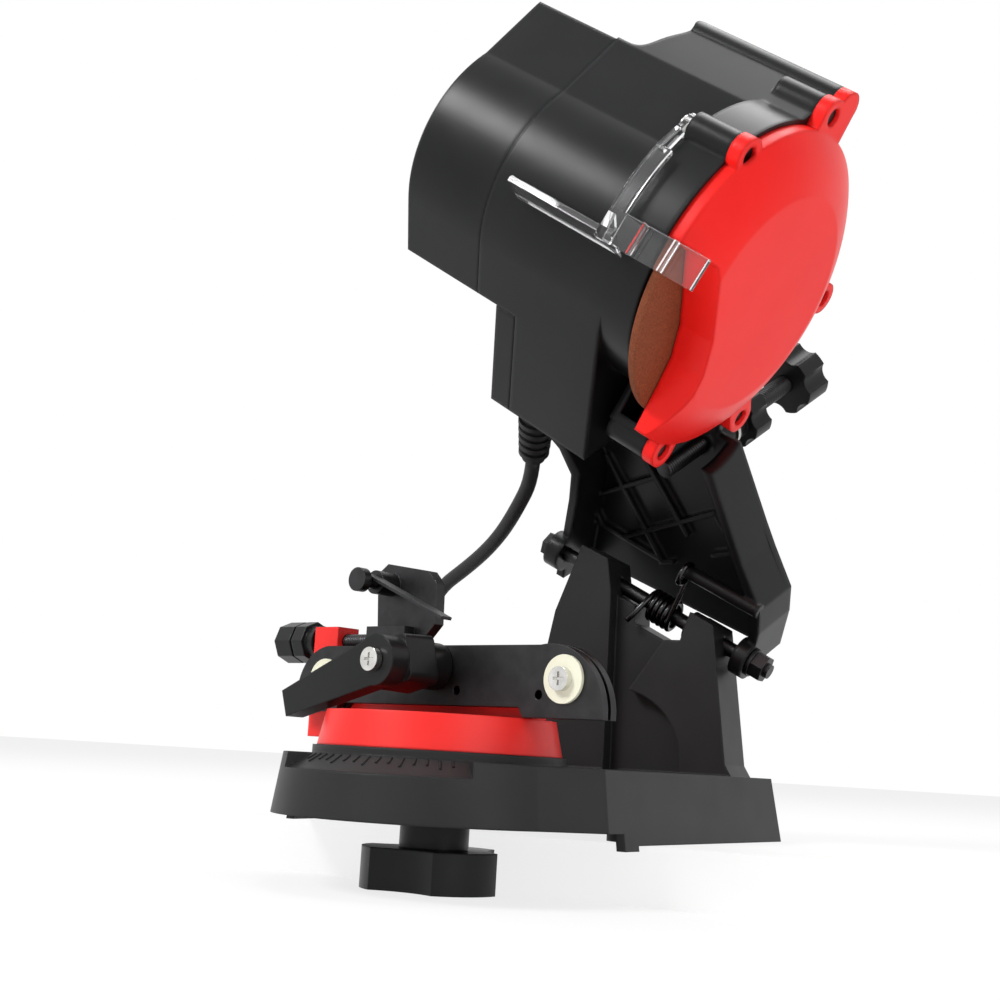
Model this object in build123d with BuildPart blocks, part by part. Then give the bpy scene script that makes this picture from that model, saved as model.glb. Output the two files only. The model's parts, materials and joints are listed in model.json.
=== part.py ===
from build123d import *
import math
import os

# Bench sharpener for saw chains. Millimetres, +X to the operator's right, +Y to the back, +Z up.
# Origin: midway between the two mounting holes, on the plane of the bench top.

os.makedirs("parts", exist_ok=True)

# ---- fits -------------------------------------------------------------------------------------
RUN = 0.05            # radial clearance of a pin or shaft that turns
LOOSE = 0.3           # clearance between faces that move past each other
DROP_IN = 0.15        # clearance of a piece that sits in a pocket

# ---- mounting holes and base ------------------------------------------------------------------
HOLE_BACK = 42.0      # from the vise's axis back to the line of mounting holes
HOLE_SPACING = 112.0
HOLE_R = 4.5
HOLE_BOSS_R = 9.0
VISE_Y = -HOLE_BACK
DISC_R = 56.6         # at its lower edge
DISC_Z = 4.0
LIP_Z = -1.8          # the stop lip hangs below the bench top
LIP_FRONT_Y = 8.0     # all base depths are measured from the vise's axis
LIP_BACK_Y = 18.0
LIP_LEFT_X = -26.0
DECK_Z = 24.6
DECK_FRONT_X = 67.0
DECK_FRONT_Y = -3.0
DECK_REAR_X = 79.0
DECK_REAR_Y = 143.0
DRAFT = 8.0
WALL = 3.2
BAND_TOP_R = 45.0     # conical band that carries the angle scale
BAND_LOW_R = 53.5
BAND_LOW_Z = 19.3
BAND_HALF_ANGLE = 41.0
SEAT_R = 44.0         # raised ring that the turntable slides on
SEAT_IN_R = 30.0
SEAT_Z = 27.5
HUB_BOSS_R = 13.0
RIB = 2.5
RIB_LOW_Z = 2.0
RIB_YS = (62.0, 100.0)

# ---- pivot of the head ------------------------------------------------------------------------
PIN_TILT = 27.8       # the pin drops to the right
PIN_X = 19.3
PIN_Y = 128.0
PIN_Z = 96.8
PIN_R = 3.0
PIN_HEAD_R = 5.5
PIN_HEAD_H = 3.5
PIN_NUT_AF = 10.0
PIN_NUT_H = 5.5
WASHER_R = 6.0
WASHER_H = 1.3
ARM_LEFT = -46.0      # outer face of the arm's left boss along the pin
ARM_RIGHT = 56.0
ARM_BOSS_R = 8.0
ARM_LEAN = 35.4       # the arm leans to the front
ARM_DEPTH = 24.0
ARM_WALL = 4.0
PLATE_WALL = 3.5
ARM_RIB = 1.6
ARM_RIB_H = 3.5

# ---- uprights ---------------------------------------------------------------------------------
UPRIGHT_FRONT_Y = 114.0
UPRIGHT_BACK_Y = 138.0
WEB_FRONT_Y = 121.0
LEFT_BOSS_FROM = -30.0
LEFT_BOSS_TO = -17.0
LEFT_BOSS_R = 8.2
RIGHT_BOSS_FROM = 26.0
RIGHT_BOSS_TO = 37.0
RIGHT_BOSS_R = 6.6

# ---- spring -----------------------------------------------------------------------------------
SPRING_R = 5.9        # centre of the wire
WIRE_R = 1.15
SPRING_PITCH = 2.4
SPRING_TURNS = 4.9
SPRING_FROM = 6.6
SPRING_LEG = 15.0
HOOK_R = 4.5          # ring of the spring's end, centre of the wire
RING_TURN = 300.0
PEG = (-14.0, 20.0)   # (back, up) of the peg that the ring hangs on
PEG_R = 3.0
PEG_FROM = 18.0
PEG_TO = 54.0

# ---- vise -------------------------------------------------------------------------------------
SWIVEL = 14.4         # the vise is turned clockwise by this much
TABLE_R = 42.6
TABLE_TOP_R = 40.0
TABLE_Z = 39.7
TABLE_RIM = 4.5
TABLE_PLATE = 4.2
TABLE_HUB_R = 5.7
TABLE_HUB_DROP = 8.7
STUD_R = 3.0
STUD_AF = 10.0
STUD_HEAD_H = 4.0
STUD_END_Z = -16.5
KNOB_HUB_R = 12.0
KNOB_HUB_Z = -5.5
KNOB_R = 24.7
KNOB_LOW_Z = -19.5
KNOB_RECESS_R = 13.5
KNOB_RECESS = 5.0
KNOB_SCALLOP_R = 26.0
KNOB_SCALLOP_AT = 44.5
KNOB_NUT_H = 6.0
CHAIN_GAP = 1.6
RAIL_THICK = 2.7
RAIL_TOP_Z = 64.0
RAIL_LEFT = -72.8
RAIL_RIGHT = 73.6
RAIL_LEFT_LOW_Z = 40.0
RAIL_MID_LOW_Z = 43.3
BEAM_THICK = 7.5
BEAM_TOP_Z = 61.6
BEAM_LEFT = -60.0
BEAM_RIGHT = 62.0
BEAM_SLOPE_X = 52.0   # the beam's upper edge falls from here, under the rails' round end
BEAM_END_Z = 57.0
BEAM_LOW_Z = 44.0     # lower edge of the beam beyond the turntable
BEAM_FOOT_X = 38.0
POST_X = -67.0
POST_W = 13.0
POST_THICK = 10.5
POST_TOP_Z = 72.0
POST_LOW_Z = 30.5
RAIL_SCREW_LEFT = (-57.4, 51.2)
RAIL_SCREW_RIGHT = (57.4, 52.7)
RAIL_SCREW_R = 2.0
RAIL_SCREW_HEAD_R = 4.0
RAIL_SCREW_HEAD_H = 2.4
BIG_WASHER_R = 8.0
BIG_WASHER_H = 1.2
LEVER_X = -1.0
LEVER_Z = 56.5
LEVER_BOLT_R = 3.0
LEVER_HUB = 17.5
LEVER_HUB_LEN = 21.5
LEVER_COLLAR_R = 8.2  # round part of the hub against the rail
LEVER_COLLAR = 8.5
LEVER_ARM_THICK = 8.0
LEVER_TIP = (-45.5, 41.0)
LEVER_ROOT_W = 16.5
LEVER_TIP_W = 9.5
LEVER_HEAD_R = 4.0
LEVER_HEAD_H = 2.5

# ---- chain stop -------------------------------------------------------------------------------
SCREW_BACK = 9.0      # adjusting screw behind the middle of the chain gap
SCREW_Z = 66.6
STOP_SCREW_R = 3.0
STOP_SCREW_LEFT = -82.0
STOP_SCREW_RIGHT = -34.0
STOP_KNOB_R = 8.0
STOP_KNOB_FROM = -96.0
STOP_KNOB_TO = -85.6
STOP_NUT_FROM = -84.6
STOP_NUT_TO = -74.6
STOP_BLOCK_LEFT = -46.0
STOP_BLOCK_RIGHT = -26.0
STOP_BLOCK_FRONT = 4.4
STOP_PLATE_FRONT = 9.5
STOP_PLATE_BACK = 14.0
PAWL_X = -39.3
PAWL_Z = 88.0
PAWL_ROD_R = 4.4
PAWL_ROD_FRONT = 0.6
PAWL_WIDTH = 5.2
PAWL_THICK = 1.1
PAWL_TIP = (0.5, 71.5)
PAWL_BOLT_R = 1.6
PAWL_HEAD_R = 4.4

# ---- head -------------------------------------------------------------------------------------
HEAD_TILT = 32.4      # the motor shaft drops to the right
WHEEL_X = 84.8
WHEEL_Y = 40.8
WHEEL_Z = 200.3
WHEEL_R = 54.0
WHEEL_BORE_R = 11.5
WHEEL_THICK = 3.2
BODY_R = 47.5
BODY_FROM = -80.0
BODY_TO = -6.0
CAP_FROM = -120.0
CASE_WALL = 3.2
BOX_FROM = -70.0
BOX_SEAM = -60.0
BOX_TO = -20.0
BOX_LONG = 70.0
BOX_DEEP = 30.0
BOX_WALL = 2.6
STEP_LONG = 23.5      # how far the cap's lower corner stands off the round body
CHAMBER_BACK = -16.0
CHAMBER_PLATE = 3.0
CHAMBER_R = 64.0
CHAMBER_WALL = 3.6
GUARD_FROM = 2.0
GUARD_R = 62.4
GUARD_RIM = 5.0
GUARD_FACE = 17.0
GUARD_FLAT_R = 42.0
GUARD_WALL = 2.4
GUARD_MID_R = 53.4     # the dome bulges through this radius, this far along the shaft
GUARD_MID = 12.6
BOSS_R = 6.2
LOBE_R = 6.6
BOSSES = ((-14.5, 66.5), (-52.5, 35.0), (65.0, 19.5), (14.5, -64.0), (59.0, -37.5))
GUARD_SCREW_R = 2.0
GUARD_SCREW_HEAD_R = 3.3
GUARD_SCREW_HEAD_H = 2.0
GUARD_SCREW_LEN = 13.0
SHAFT_R = 4.0
SHAFT_FROM = -116.2
SHAFT_TO = 12.0
BEARING_R = 11.0
BEARING_W = 7.0
FRONT_BEARING_FROM = -18.0
REAR_BEARING_FROM = -116.5
FLANGE_R = 17.0
FLANGE_H = 2.6
WHEEL_NUT_AF = 13.0
WHEEL_NUT_H = 6.0
ARMATURE_R = 24.0
ARMATURE_FROM = -95.0
ARMATURE_TO = -40.0
COMMUTATOR_R = 12.0
COMMUTATOR_FROM = -108.0
COMMUTATOR_TO = -98.0
STATOR_FROM = -78.0
STATOR_TO = -43.0
FAN_R = 36.0
FAN_FROM = -33.0
FAN_TO = -25.0
BRUSH = 6.0
VISOR_WALL = 2.4
VISOR_GAP = 0.6
VISOR_BAND_W = 6.0
VISOR_PIN_R = 1.6
SWITCH_FROM = -62.0
SWITCH_LONG = 25.0
SWITCH_WIDE = 14.0
SWITCH_DEEP = 13.0
ROCKER_LONG = 20.0
ROCKER_WIDE = 10.0

# ---- depth screw, its knob and tip given as (along the pin, back, up) from the pin -------------
DEPTH_KNOB = (5.0, 22.5, 111.7)
DEPTH_TIP = (-0.4, -38.8, 51.7)
DEPTH_R = 4.0
DEPTH_KNOB_R = 13.5
DEPTH_KNOB_H = 13.0
DEPTH_NUT_R = 12.2
DEPTH_NUT_H = 10.0
DEPTH_NUT_AT = 36.2
DEPTH_WASHER_R = 8.2
DEPTH_WASHER_H = 1.6
DEPTH_BOSS_R = 7.5
DEPTH_BOSS_BACK = 11.9  # boss of the screw behind the arm's plate
DEPTH_BOSS_LEN = 15.0

# ---- cord -------------------------------------------------------------------------------------
GLAND_AT = -53.0
GLAND_DEEP = 9.0
GLAND_R = 6.4
GLAND_TIP_R = 4.8
GLAND_LEN = 26.0
CORD_R = 3.1


# ---- planes -----------------------------------------------------------------------------------
def base_plane(height):
    return Plane(origin=(0, VISE_Y, height))


def front_plane(depth):
    return Plane(origin=(0, VISE_Y + depth, 0), x_dir=(1, 0, 0), z_dir=(0, -1, 0))


def radial_plane(angle):
    a = math.radians(angle)
    outward = (math.cos(a), math.sin(a), 0)
    return Plane(origin=(0, VISE_Y, 0), x_dir=outward, z_dir=(outward[1], -outward[0], 0))


VISE_RIGHT = Vector(math.cos(math.radians(SWIVEL)), -math.sin(math.radians(SWIVEL)), 0)
VISE_BACK = Vector(math.sin(math.radians(SWIVEL)), math.cos(math.radians(SWIVEL)), 0)
VISE_ORIGIN = Vector(0, VISE_Y, 0)


def vise_plane(height):
    return Plane(origin=VISE_ORIGIN + Vector(0, 0, height), x_dir=VISE_RIGHT, z_dir=(0, 0, 1))


def vise_front(depth):
    """Sketches read (along the rails, up); the plane looks to the vise's front."""
    return Plane(origin=VISE_ORIGIN + VISE_BACK * depth, x_dir=VISE_RIGHT, z_dir=VISE_BACK * -1)


def vise_side(along):
    """Sketches read (back, up); the plane looks along the rails to the right."""
    return Plane(origin=VISE_ORIGIN + VISE_RIGHT * along, x_dir=VISE_BACK, z_dir=VISE_RIGHT)


def tilted(degrees):
    a = math.radians(degrees)
    return Vector(math.cos(a), 0, -math.sin(a))


PIN_DIR = tilted(PIN_TILT)
PIN_UP = PIN_DIR.cross(Vector(0, 1, 0))
PIN_ORIGIN = Vector(PIN_X, VISE_Y + PIN_Y, PIN_Z)
HEAD_DIR = tilted(HEAD_TILT)
HEAD_UP = HEAD_DIR.cross(Vector(0, 1, 0))
HEAD_ORIGIN = Vector(WHEEL_X, VISE_Y + WHEEL_Y, WHEEL_Z)
LEAN = math.radians(ARM_LEAN)
ARM_FRONT = Vector(0, -math.cos(LEAN), 0) - PIN_UP * math.sin(LEAN)


def pin_plane(along):
    """Sketches read (back, up) square to the pin."""
    return Plane(origin=PIN_ORIGIN + PIN_DIR * along, x_dir=(0, 1, 0), z_dir=PIN_DIR)


def arm_plane(off):
    """Sketches read (along the pin, up the arm)."""
    return Plane(origin=PIN_ORIGIN + ARM_FRONT * off, x_dir=PIN_DIR, z_dir=ARM_FRONT)


def head_plane(along):
    """Sketches read (back, up) square to the motor shaft."""
    return Plane(origin=HEAD_ORIGIN + HEAD_DIR * along, x_dir=(0, 1, 0), z_dir=HEAD_DIR)


def head_point(along, back, up):
    return HEAD_ORIGIN + HEAD_DIR * along + Vector(0, back, 0) + HEAD_UP * up


def pin_point(along, back, up):
    return PIN_ORIGIN + PIN_DIR * along + Vector(0, back, 0) + PIN_UP * up


def hex_r(across_flats):
    return across_flats / math.sqrt(3)


HEAD_SIDE = Plane(origin=HEAD_ORIGIN, x_dir=HEAD_DIR, z_dir=(0, -1, 0))
HEAD_RADIAL = Plane(origin=HEAD_ORIGIN, x_dir=(0, 1, 0), z_dir=HEAD_UP * -1)
HEAD_AXIS = Axis(HEAD_ORIGIN, HEAD_DIR)
VISE_AXIS = Axis((0, VISE_Y, 0), (0, 0, 1))

# ---- base -------------------------------------------------------------------------------------
corner_r = math.hypot(DECK_FRONT_X, DECK_FRONT_Y)
flank_a = math.atan2(DECK_FRONT_Y, DECK_FRONT_X) - math.acos(DISC_R / corner_r)
flank = (DISC_R * math.cos(flank_a), DISC_R * math.sin(flank_a))
DECK = (
    flank,
    (DECK_FRONT_X, DECK_FRONT_Y),
    (DECK_REAR_X, DECK_REAR_Y),
    (-DECK_REAR_X, DECK_REAR_Y),
    (-DECK_FRONT_X, DECK_FRONT_Y),
    (-flank[0], flank[1]),
)
WEB_TOP = ((12.0, 96.7), (20.3, 92.3), (20.3, 85.0), (31.0, 79.4), (40.0, 74.6))
LEFT_UPRIGHT = ((-26.0, 24.0), (-13.0, 89.0), (-2.0, 117.0), (10.0, 111.2), (12.0, 97.0), (12.0, 24.0))
RIGHT_UPRIGHT = ((47.2, 89.0), (57.0, 83.8), (64.0, 29.0), (67.0, 24.0), (45.0, 24.0), (44.6, 34.0))
BUTTRESS = ((38.2, 47.4), (21.6, 56.9))
RIGHT_INNER = ((36.0, 77.6), (43.3, 77.6))

with BuildPart() as base:
    with BuildSketch(base_plane(LIP_Z)):
        Circle(DISC_R + (DISC_Z - LIP_Z) * math.tan(math.radians(DRAFT)))
        Polygon(*DECK, align=None)
    extrude(amount=DECK_Z - LIP_Z, taper=DRAFT)
    with BuildSketch(base_plane(SEAT_Z)):
        Circle(SEAT_R)
        Circle(SEAT_IN_R, mode=Mode.SUBTRACT)
    extrude(amount=DECK_Z - SEAT_Z - 1)
    band_cut = radial_plane(-90 - BAND_HALF_ANGLE)
    with BuildSketch(band_cut):
        Polygon((BAND_TOP_R, DECK_Z), (BAND_LOW_R, BAND_LOW_Z), (DISC_R + WALL, BAND_LOW_Z),
                (DISC_R + WALL, DECK_Z + 1), (BAND_TOP_R, DECK_Z + 1), align=None)
    revolve(axis=VISE_AXIS, revolution_arc=2 * BAND_HALF_ANGLE, mode=Mode.SUBTRACT)
    with BuildSketch(base_plane(LIP_Z)):
        Circle(DISC_R)
        Polygon(*DECK, align=None)
        offset(amount=-WALL, kind=Kind.INTERSECTION, mode=Mode.REPLACE)
    extrude(amount=BAND_LOW_Z - WALL - LIP_Z, taper=DRAFT, mode=Mode.SUBTRACT)
    with BuildSketch(base_plane(BAND_LOW_Z - WALL - 1)):
        Circle(DISC_R)
        Polygon(*DECK, align=None)
        offset(amount=-4 * WALL, kind=Kind.INTERSECTION, mode=Mode.REPLACE)
    extrude(amount=DECK_Z - BAND_LOW_Z + 1, mode=Mode.SUBTRACT)
    with BuildSketch(base_plane(LIP_Z)):
        with Locations((0, LIP_FRONT_Y - DISC_R)):
            Rectangle(3 * DECK_REAR_X, 2 * DISC_R)
    extrude(amount=DISC_Z - LIP_Z, mode=Mode.SUBTRACT)
    with BuildSketch(base_plane(LIP_Z)):
        with Locations((0, LIP_BACK_Y + DECK_REAR_Y)):
            Rectangle(3 * DECK_REAR_X, 2 * DECK_REAR_Y)
    extrude(amount=-LIP_Z, mode=Mode.SUBTRACT)
    with BuildSketch(base_plane(LIP_Z)):
        with Locations((LIP_LEFT_X - DECK_REAR_X, LIP_FRONT_Y)):
            Rectangle(2 * DECK_REAR_X, 4 * DISC_R)
    extrude(amount=-LIP_Z, mode=Mode.SUBTRACT)
    with BuildSketch(base_plane(DECK_Z - WALL + 0.5)):
        for rib_y in RIB_YS:
            with Locations((0, rib_y)):
                Rectangle(2 * DECK_FRONT_X, RIB)
        for side in (-1, 1):
            with Locations((side * HUB_BOSS_R, DECK_REAR_Y / 2 - DISC_R / 4)):
                Rectangle(RIB, DECK_REAR_Y)
    extrude(amount=RIB_LOW_Z + DISC_Z - DECK_Z + WALL - 0.5)
    with BuildSketch(base_plane(0)):
        with Locations((-HOLE_SPACING / 2, HOLE_BACK), (HOLE_SPACING / 2, HOLE_BACK)):
            Circle(HOLE_BOSS_R)
    extrude(amount=DECK_Z - WALL / 2)
    with BuildSketch(base_plane(DISC_Z)):
        Circle(HUB_BOSS_R)
    extrude(amount=SEAT_Z - DISC_Z)
    with BuildSketch(front_plane(UPRIGHT_FRONT_Y)):
        Polygon(*LEFT_UPRIGHT, align=None)
        with BuildLine():
            edge = ThreePointArc(RIGHT_UPRIGHT[5], BUTTRESS[0], BUTTRESS[1])
            Polyline(BUTTRESS[1], *RIGHT_INNER, *RIGHT_UPRIGHT)
        make_face()
    extrude(amount=UPRIGHT_FRONT_Y - UPRIGHT_BACK_Y)
    with BuildSketch(front_plane(WEB_FRONT_Y)):
        Polygon((LEFT_UPRIGHT[5][0] - 1, 24.0), *WEB_TOP, (46.0, 77.0), (46.0, 24.0), align=None)
    extrude(amount=WEB_FRONT_Y - UPRIGHT_BACK_Y)
    with BuildSketch(pin_plane(LEFT_BOSS_FROM)):
        Circle(LEFT_BOSS_R)
    extrude(amount=LEFT_BOSS_TO - LEFT_BOSS_FROM)
    with BuildSketch(pin_plane(RIGHT_BOSS_FROM)):
        Circle(RIGHT_BOSS_R)
    extrude(amount=RIGHT_BOSS_TO - RIGHT_BOSS_FROM)
    with BuildSketch(pin_plane(ARM_LEFT)):
        Circle(PIN_R + RUN)
    extrude(amount=ARM_RIGHT - ARM_LEFT, mode=Mode.SUBTRACT)
    with BuildSketch(base_plane(LIP_Z)):
        with Locations((-HOLE_SPACING / 2, HOLE_BACK), (HOLE_SPACING / 2, HOLE_BACK)):
            Circle(HOLE_R)
        Circle(STUD_R + LOOSE)
    extrude(amount=SEAT_Z - LIP_Z + 1, mode=Mode.SUBTRACT)
    with BuildSketch(base_plane(SEAT_Z - TABLE_HUB_DROP - LOOSE)):
        Circle(TABLE_HUB_R + RUN)
    extrude(amount=TABLE_HUB_DROP + 2 * LOOSE, mode=Mode.SUBTRACT)
base.part.label = "base"
export_step(base.part, "parts/base.step")

# ---- turntable --------------------------------------------------------------------------------
RAIL_FACE = CHAIN_GAP / 2 + RAIL_THICK      # outer face of either rail from the gap's middle
POST_MID = RAIL_FACE + POST_THICK / 2
with BuildPart() as turntable:
    with BuildSketch(radial_plane(0)):
        Polygon((0, SEAT_Z), (TABLE_R, SEAT_Z), (TABLE_TOP_R, TABLE_Z), (0, TABLE_Z), align=None)
    revolve(axis=VISE_AXIS)
    with BuildSketch(base_plane(SEAT_Z)):
        Circle(TABLE_TOP_R - TABLE_RIM)
        Circle(HUB_BOSS_R, mode=Mode.SUBTRACT)
    extrude(amount=TABLE_Z - TABLE_PLATE - SEAT_Z, mode=Mode.SUBTRACT)
    with BuildSketch(base_plane(SEAT_Z - TABLE_HUB_DROP)):
        Circle(TABLE_HUB_R)
    extrude(amount=TABLE_HUB_DROP + 1)
    with BuildSketch(vise_front(RAIL_FACE)):
        Polygon((BEAM_LEFT, BEAM_TOP_Z), (BEAM_SLOPE_X, BEAM_TOP_Z), (BEAM_RIGHT, BEAM_END_Z),
                (BEAM_RIGHT, BEAM_LOW_Z), (BEAM_FOOT_X, BEAM_LOW_Z), (BEAM_FOOT_X, TABLE_Z - 1),
                (BEAM_LEFT, TABLE_Z - 1), align=None)
    extrude(amount=-BEAM_THICK)
    with BuildSketch(vise_plane(POST_LOW_Z)):
        with Locations(((POST_X - POST_W / 2) / 2, POST_MID)):
            Rectangle(POST_W / 2 - POST_X, POST_THICK)
    extrude(amount=TABLE_Z - POST_LOW_Z)
    with BuildSketch(vise_plane(POST_LOW_Z)):
        with Locations((POST_X, POST_MID)):
            Rectangle(POST_W, POST_THICK)
    extrude(amount=POST_TOP_Z - POST_LOW_Z)
    with BuildSketch(vise_side(POST_X - POST_W)):
        with Locations((SCREW_BACK, SCREW_Z)):
            Circle(STOP_SCREW_R + RUN)
    extrude(amount=2 * POST_W, mode=Mode.SUBTRACT)
    with BuildSketch(vise_front(-1)):
        with Locations(RAIL_SCREW_LEFT, RAIL_SCREW_RIGHT):
            Circle(RAIL_SCREW_R + RUN)
        with Locations((LEVER_X, LEVER_Z)):
            Circle(LEVER_BOLT_R + RUN)
    extrude(amount=-RAIL_FACE - POST_THICK - 2, mode=Mode.SUBTRACT)
    with BuildSketch(base_plane(SEAT_Z - TABLE_HUB_DROP)):
        Circle(STUD_R + RUN)
    extrude(amount=TABLE_HUB_DROP + TABLE_Z - SEAT_Z, mode=Mode.SUBTRACT)
    with BuildSketch(vise_plane(TABLE_Z - STUD_HEAD_H)):
        RegularPolygon(hex_r(STUD_AF + 2 * DROP_IN), 6)
    extrude(amount=STUD_HEAD_H + 1, mode=Mode.SUBTRACT)
turntable.part.label = "turntable"
export_step(turntable.part, "parts/turntable.step")

with BuildPart() as stud:
    with BuildSketch(vise_plane(TABLE_Z - STUD_HEAD_H)):
        RegularPolygon(hex_r(STUD_AF), 6)
    extrude(amount=STUD_HEAD_H - LOOSE)
    with BuildSketch(vise_plane(STUD_END_Z)):
        Circle(STUD_R)
    extrude(amount=TABLE_Z - STUD_HEAD_H - STUD_END_Z)
stud.part.label = "stud"
export_step(stud.part, "parts/stud.step")

# ---- clamp knob under the base ----------------------------------------------------------------
with BuildPart() as clamp_knob:
    with BuildSketch(base_plane(KNOB_LOW_Z)):
        Circle(KNOB_R)
        with PolarLocations(KNOB_SCALLOP_AT, 3, start_angle=30):
            Circle(KNOB_SCALLOP_R, mode=Mode.SUBTRACT)
    extrude(amount=KNOB_HUB_Z - KNOB_LOW_Z)
    with BuildSketch(base_plane(KNOB_HUB_Z)):
        Circle(KNOB_HUB_R)
    extrude(amount=DISC_Z - KNOB_HUB_Z)
    with BuildSketch(base_plane(KNOB_LOW_Z)):
        Circle(KNOB_RECESS_R)
    extrude(amount=KNOB_RECESS, mode=Mode.SUBTRACT)
    with BuildSketch(base_plane(KNOB_LOW_Z + KNOB_RECESS)):
        RegularPolygon(hex_r(STUD_AF + 2 * DROP_IN), 6)
    extrude(amount=KNOB_NUT_H - 2, mode=Mode.SUBTRACT)
    with BuildSketch(base_plane(KNOB_LOW_Z)):
        Circle(STUD_R + RUN)
    extrude(amount=DISC_Z - KNOB_LOW_Z, mode=Mode.SUBTRACT)
clamp_knob.part.label = "clamp_knob"
export_step(clamp_knob.part, "parts/clamp_knob.step")

with BuildPart() as clamp_nut:
    with BuildSketch(base_plane(KNOB_LOW_Z + KNOB_RECESS - 2)):
        RegularPolygon(hex_r(STUD_AF), 6)
        Circle(STUD_R + RUN, mode=Mode.SUBTRACT)
    extrude(amount=KNOB_NUT_H)
clamp_nut.part.label = "clamp_nut"
export_step(clamp_nut.part, "parts/clamp_nut.step")


# ---- rails ------------------------------------------------------------------------------------
SHOULDER_LEFT = (RAIL_LEFT + 15.0, RAIL_TOP_Z)
SHOULDER_RIGHT = (RAIL_RIGHT - 27.0, RAIL_TOP_Z)
END_LEFT = (RAIL_LEFT, RAIL_LEFT_LOW_Z + 3.0)
END_RIGHT = (RAIL_RIGHT, RAIL_LEFT_LOW_Z + 3.0)
RAIL_PEEP_HOLES = ((9.5, 48.5), (46.5, 47.5))
RAIL_PEEP_R = 1.6
with BuildSketch() as rail_face:
    with BuildLine():
        Polyline(END_LEFT, (RAIL_LEFT, RAIL_LEFT_LOW_Z), (RAIL_LEFT + 20.8, RAIL_LEFT_LOW_Z),
                 (RAIL_LEFT + 23.8, RAIL_MID_LOW_Z), (RAIL_RIGHT - 35.6, RAIL_MID_LOW_Z),
                 (RAIL_RIGHT - 33.6, RAIL_LEFT_LOW_Z), (RAIL_RIGHT, RAIL_LEFT_LOW_Z), END_RIGHT)
        ThreePointArc(END_RIGHT, (RAIL_RIGHT - 7.4, RAIL_TOP_Z - 5.6), SHOULDER_RIGHT)
        Line(SHOULDER_RIGHT, SHOULDER_LEFT)
        ThreePointArc(SHOULDER_LEFT, (RAIL_LEFT + 3.2, RAIL_TOP_Z - 6.6), END_LEFT)
    make_face()
    with Locations(RAIL_SCREW_LEFT, RAIL_SCREW_RIGHT):
        Circle(RAIL_SCREW_R + RUN, mode=Mode.SUBTRACT)
    with Locations((LEVER_X, LEVER_Z)):
        Circle(LEVER_BOLT_R + RUN, mode=Mode.SUBTRACT)
    with Locations(*RAIL_PEEP_HOLES):
        Circle(RAIL_PEEP_R, mode=Mode.SUBTRACT)

with BuildPart() as front_rail:
    with BuildSketch(vise_front(-CHAIN_GAP / 2)):
        add(rail_face.sketch_local)
    extrude(amount=RAIL_THICK)
front_rail.part.label = "front_rail"
export_step(front_rail.part, "parts/front_rail.step")

with BuildPart() as rear_rail:
    with BuildSketch(vise_front(RAIL_FACE)):
        add(rail_face.sketch_local)
    extrude(amount=RAIL_THICK)
rear_rail.part.label = "rear_rail"
export_step(rear_rail.part, "parts/rear_rail.step")

with BuildPart() as rail_washers:
    with BuildSketch(vise_front(-RAIL_FACE)):
        for spot in (RAIL_SCREW_LEFT, RAIL_SCREW_RIGHT):
            with Locations(spot):
                Circle(BIG_WASHER_R)
                Circle(RAIL_SCREW_R + RUN, mode=Mode.SUBTRACT)
    extrude(amount=BIG_WASHER_H)
rail_washers.part.label = "rail_washers"
export_step(rail_washers.part, "parts/rail_washers.step")

with BuildPart() as rail_screws:
    for spot in (RAIL_SCREW_LEFT, RAIL_SCREW_RIGHT):
        with BuildSketch(vise_front(-RAIL_FACE - BIG_WASHER_H)):
            with Locations(spot):
                Circle(RAIL_SCREW_HEAD_R)
        extrude(amount=RAIL_SCREW_HEAD_H)
        with BuildSketch(vise_front(-RAIL_FACE - BIG_WASHER_H)):
            with Locations(spot):
                Circle(RAIL_SCREW_R)
        extrude(amount=-BIG_WASHER_H - 2 * RAIL_FACE - BEAM_THICK + 1)
        with BuildSketch(vise_front(-RAIL_FACE - BIG_WASHER_H - RAIL_SCREW_HEAD_H)):
            with Locations(spot):
                Rectangle(4.4, 0.9)
                Rectangle(0.9, 4.4)
        extrude(amount=-1.2, mode=Mode.SUBTRACT)
rail_screws.part.label = "rail_screws"
export_step(rail_screws.part, "parts/rail_screws.step")

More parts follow.
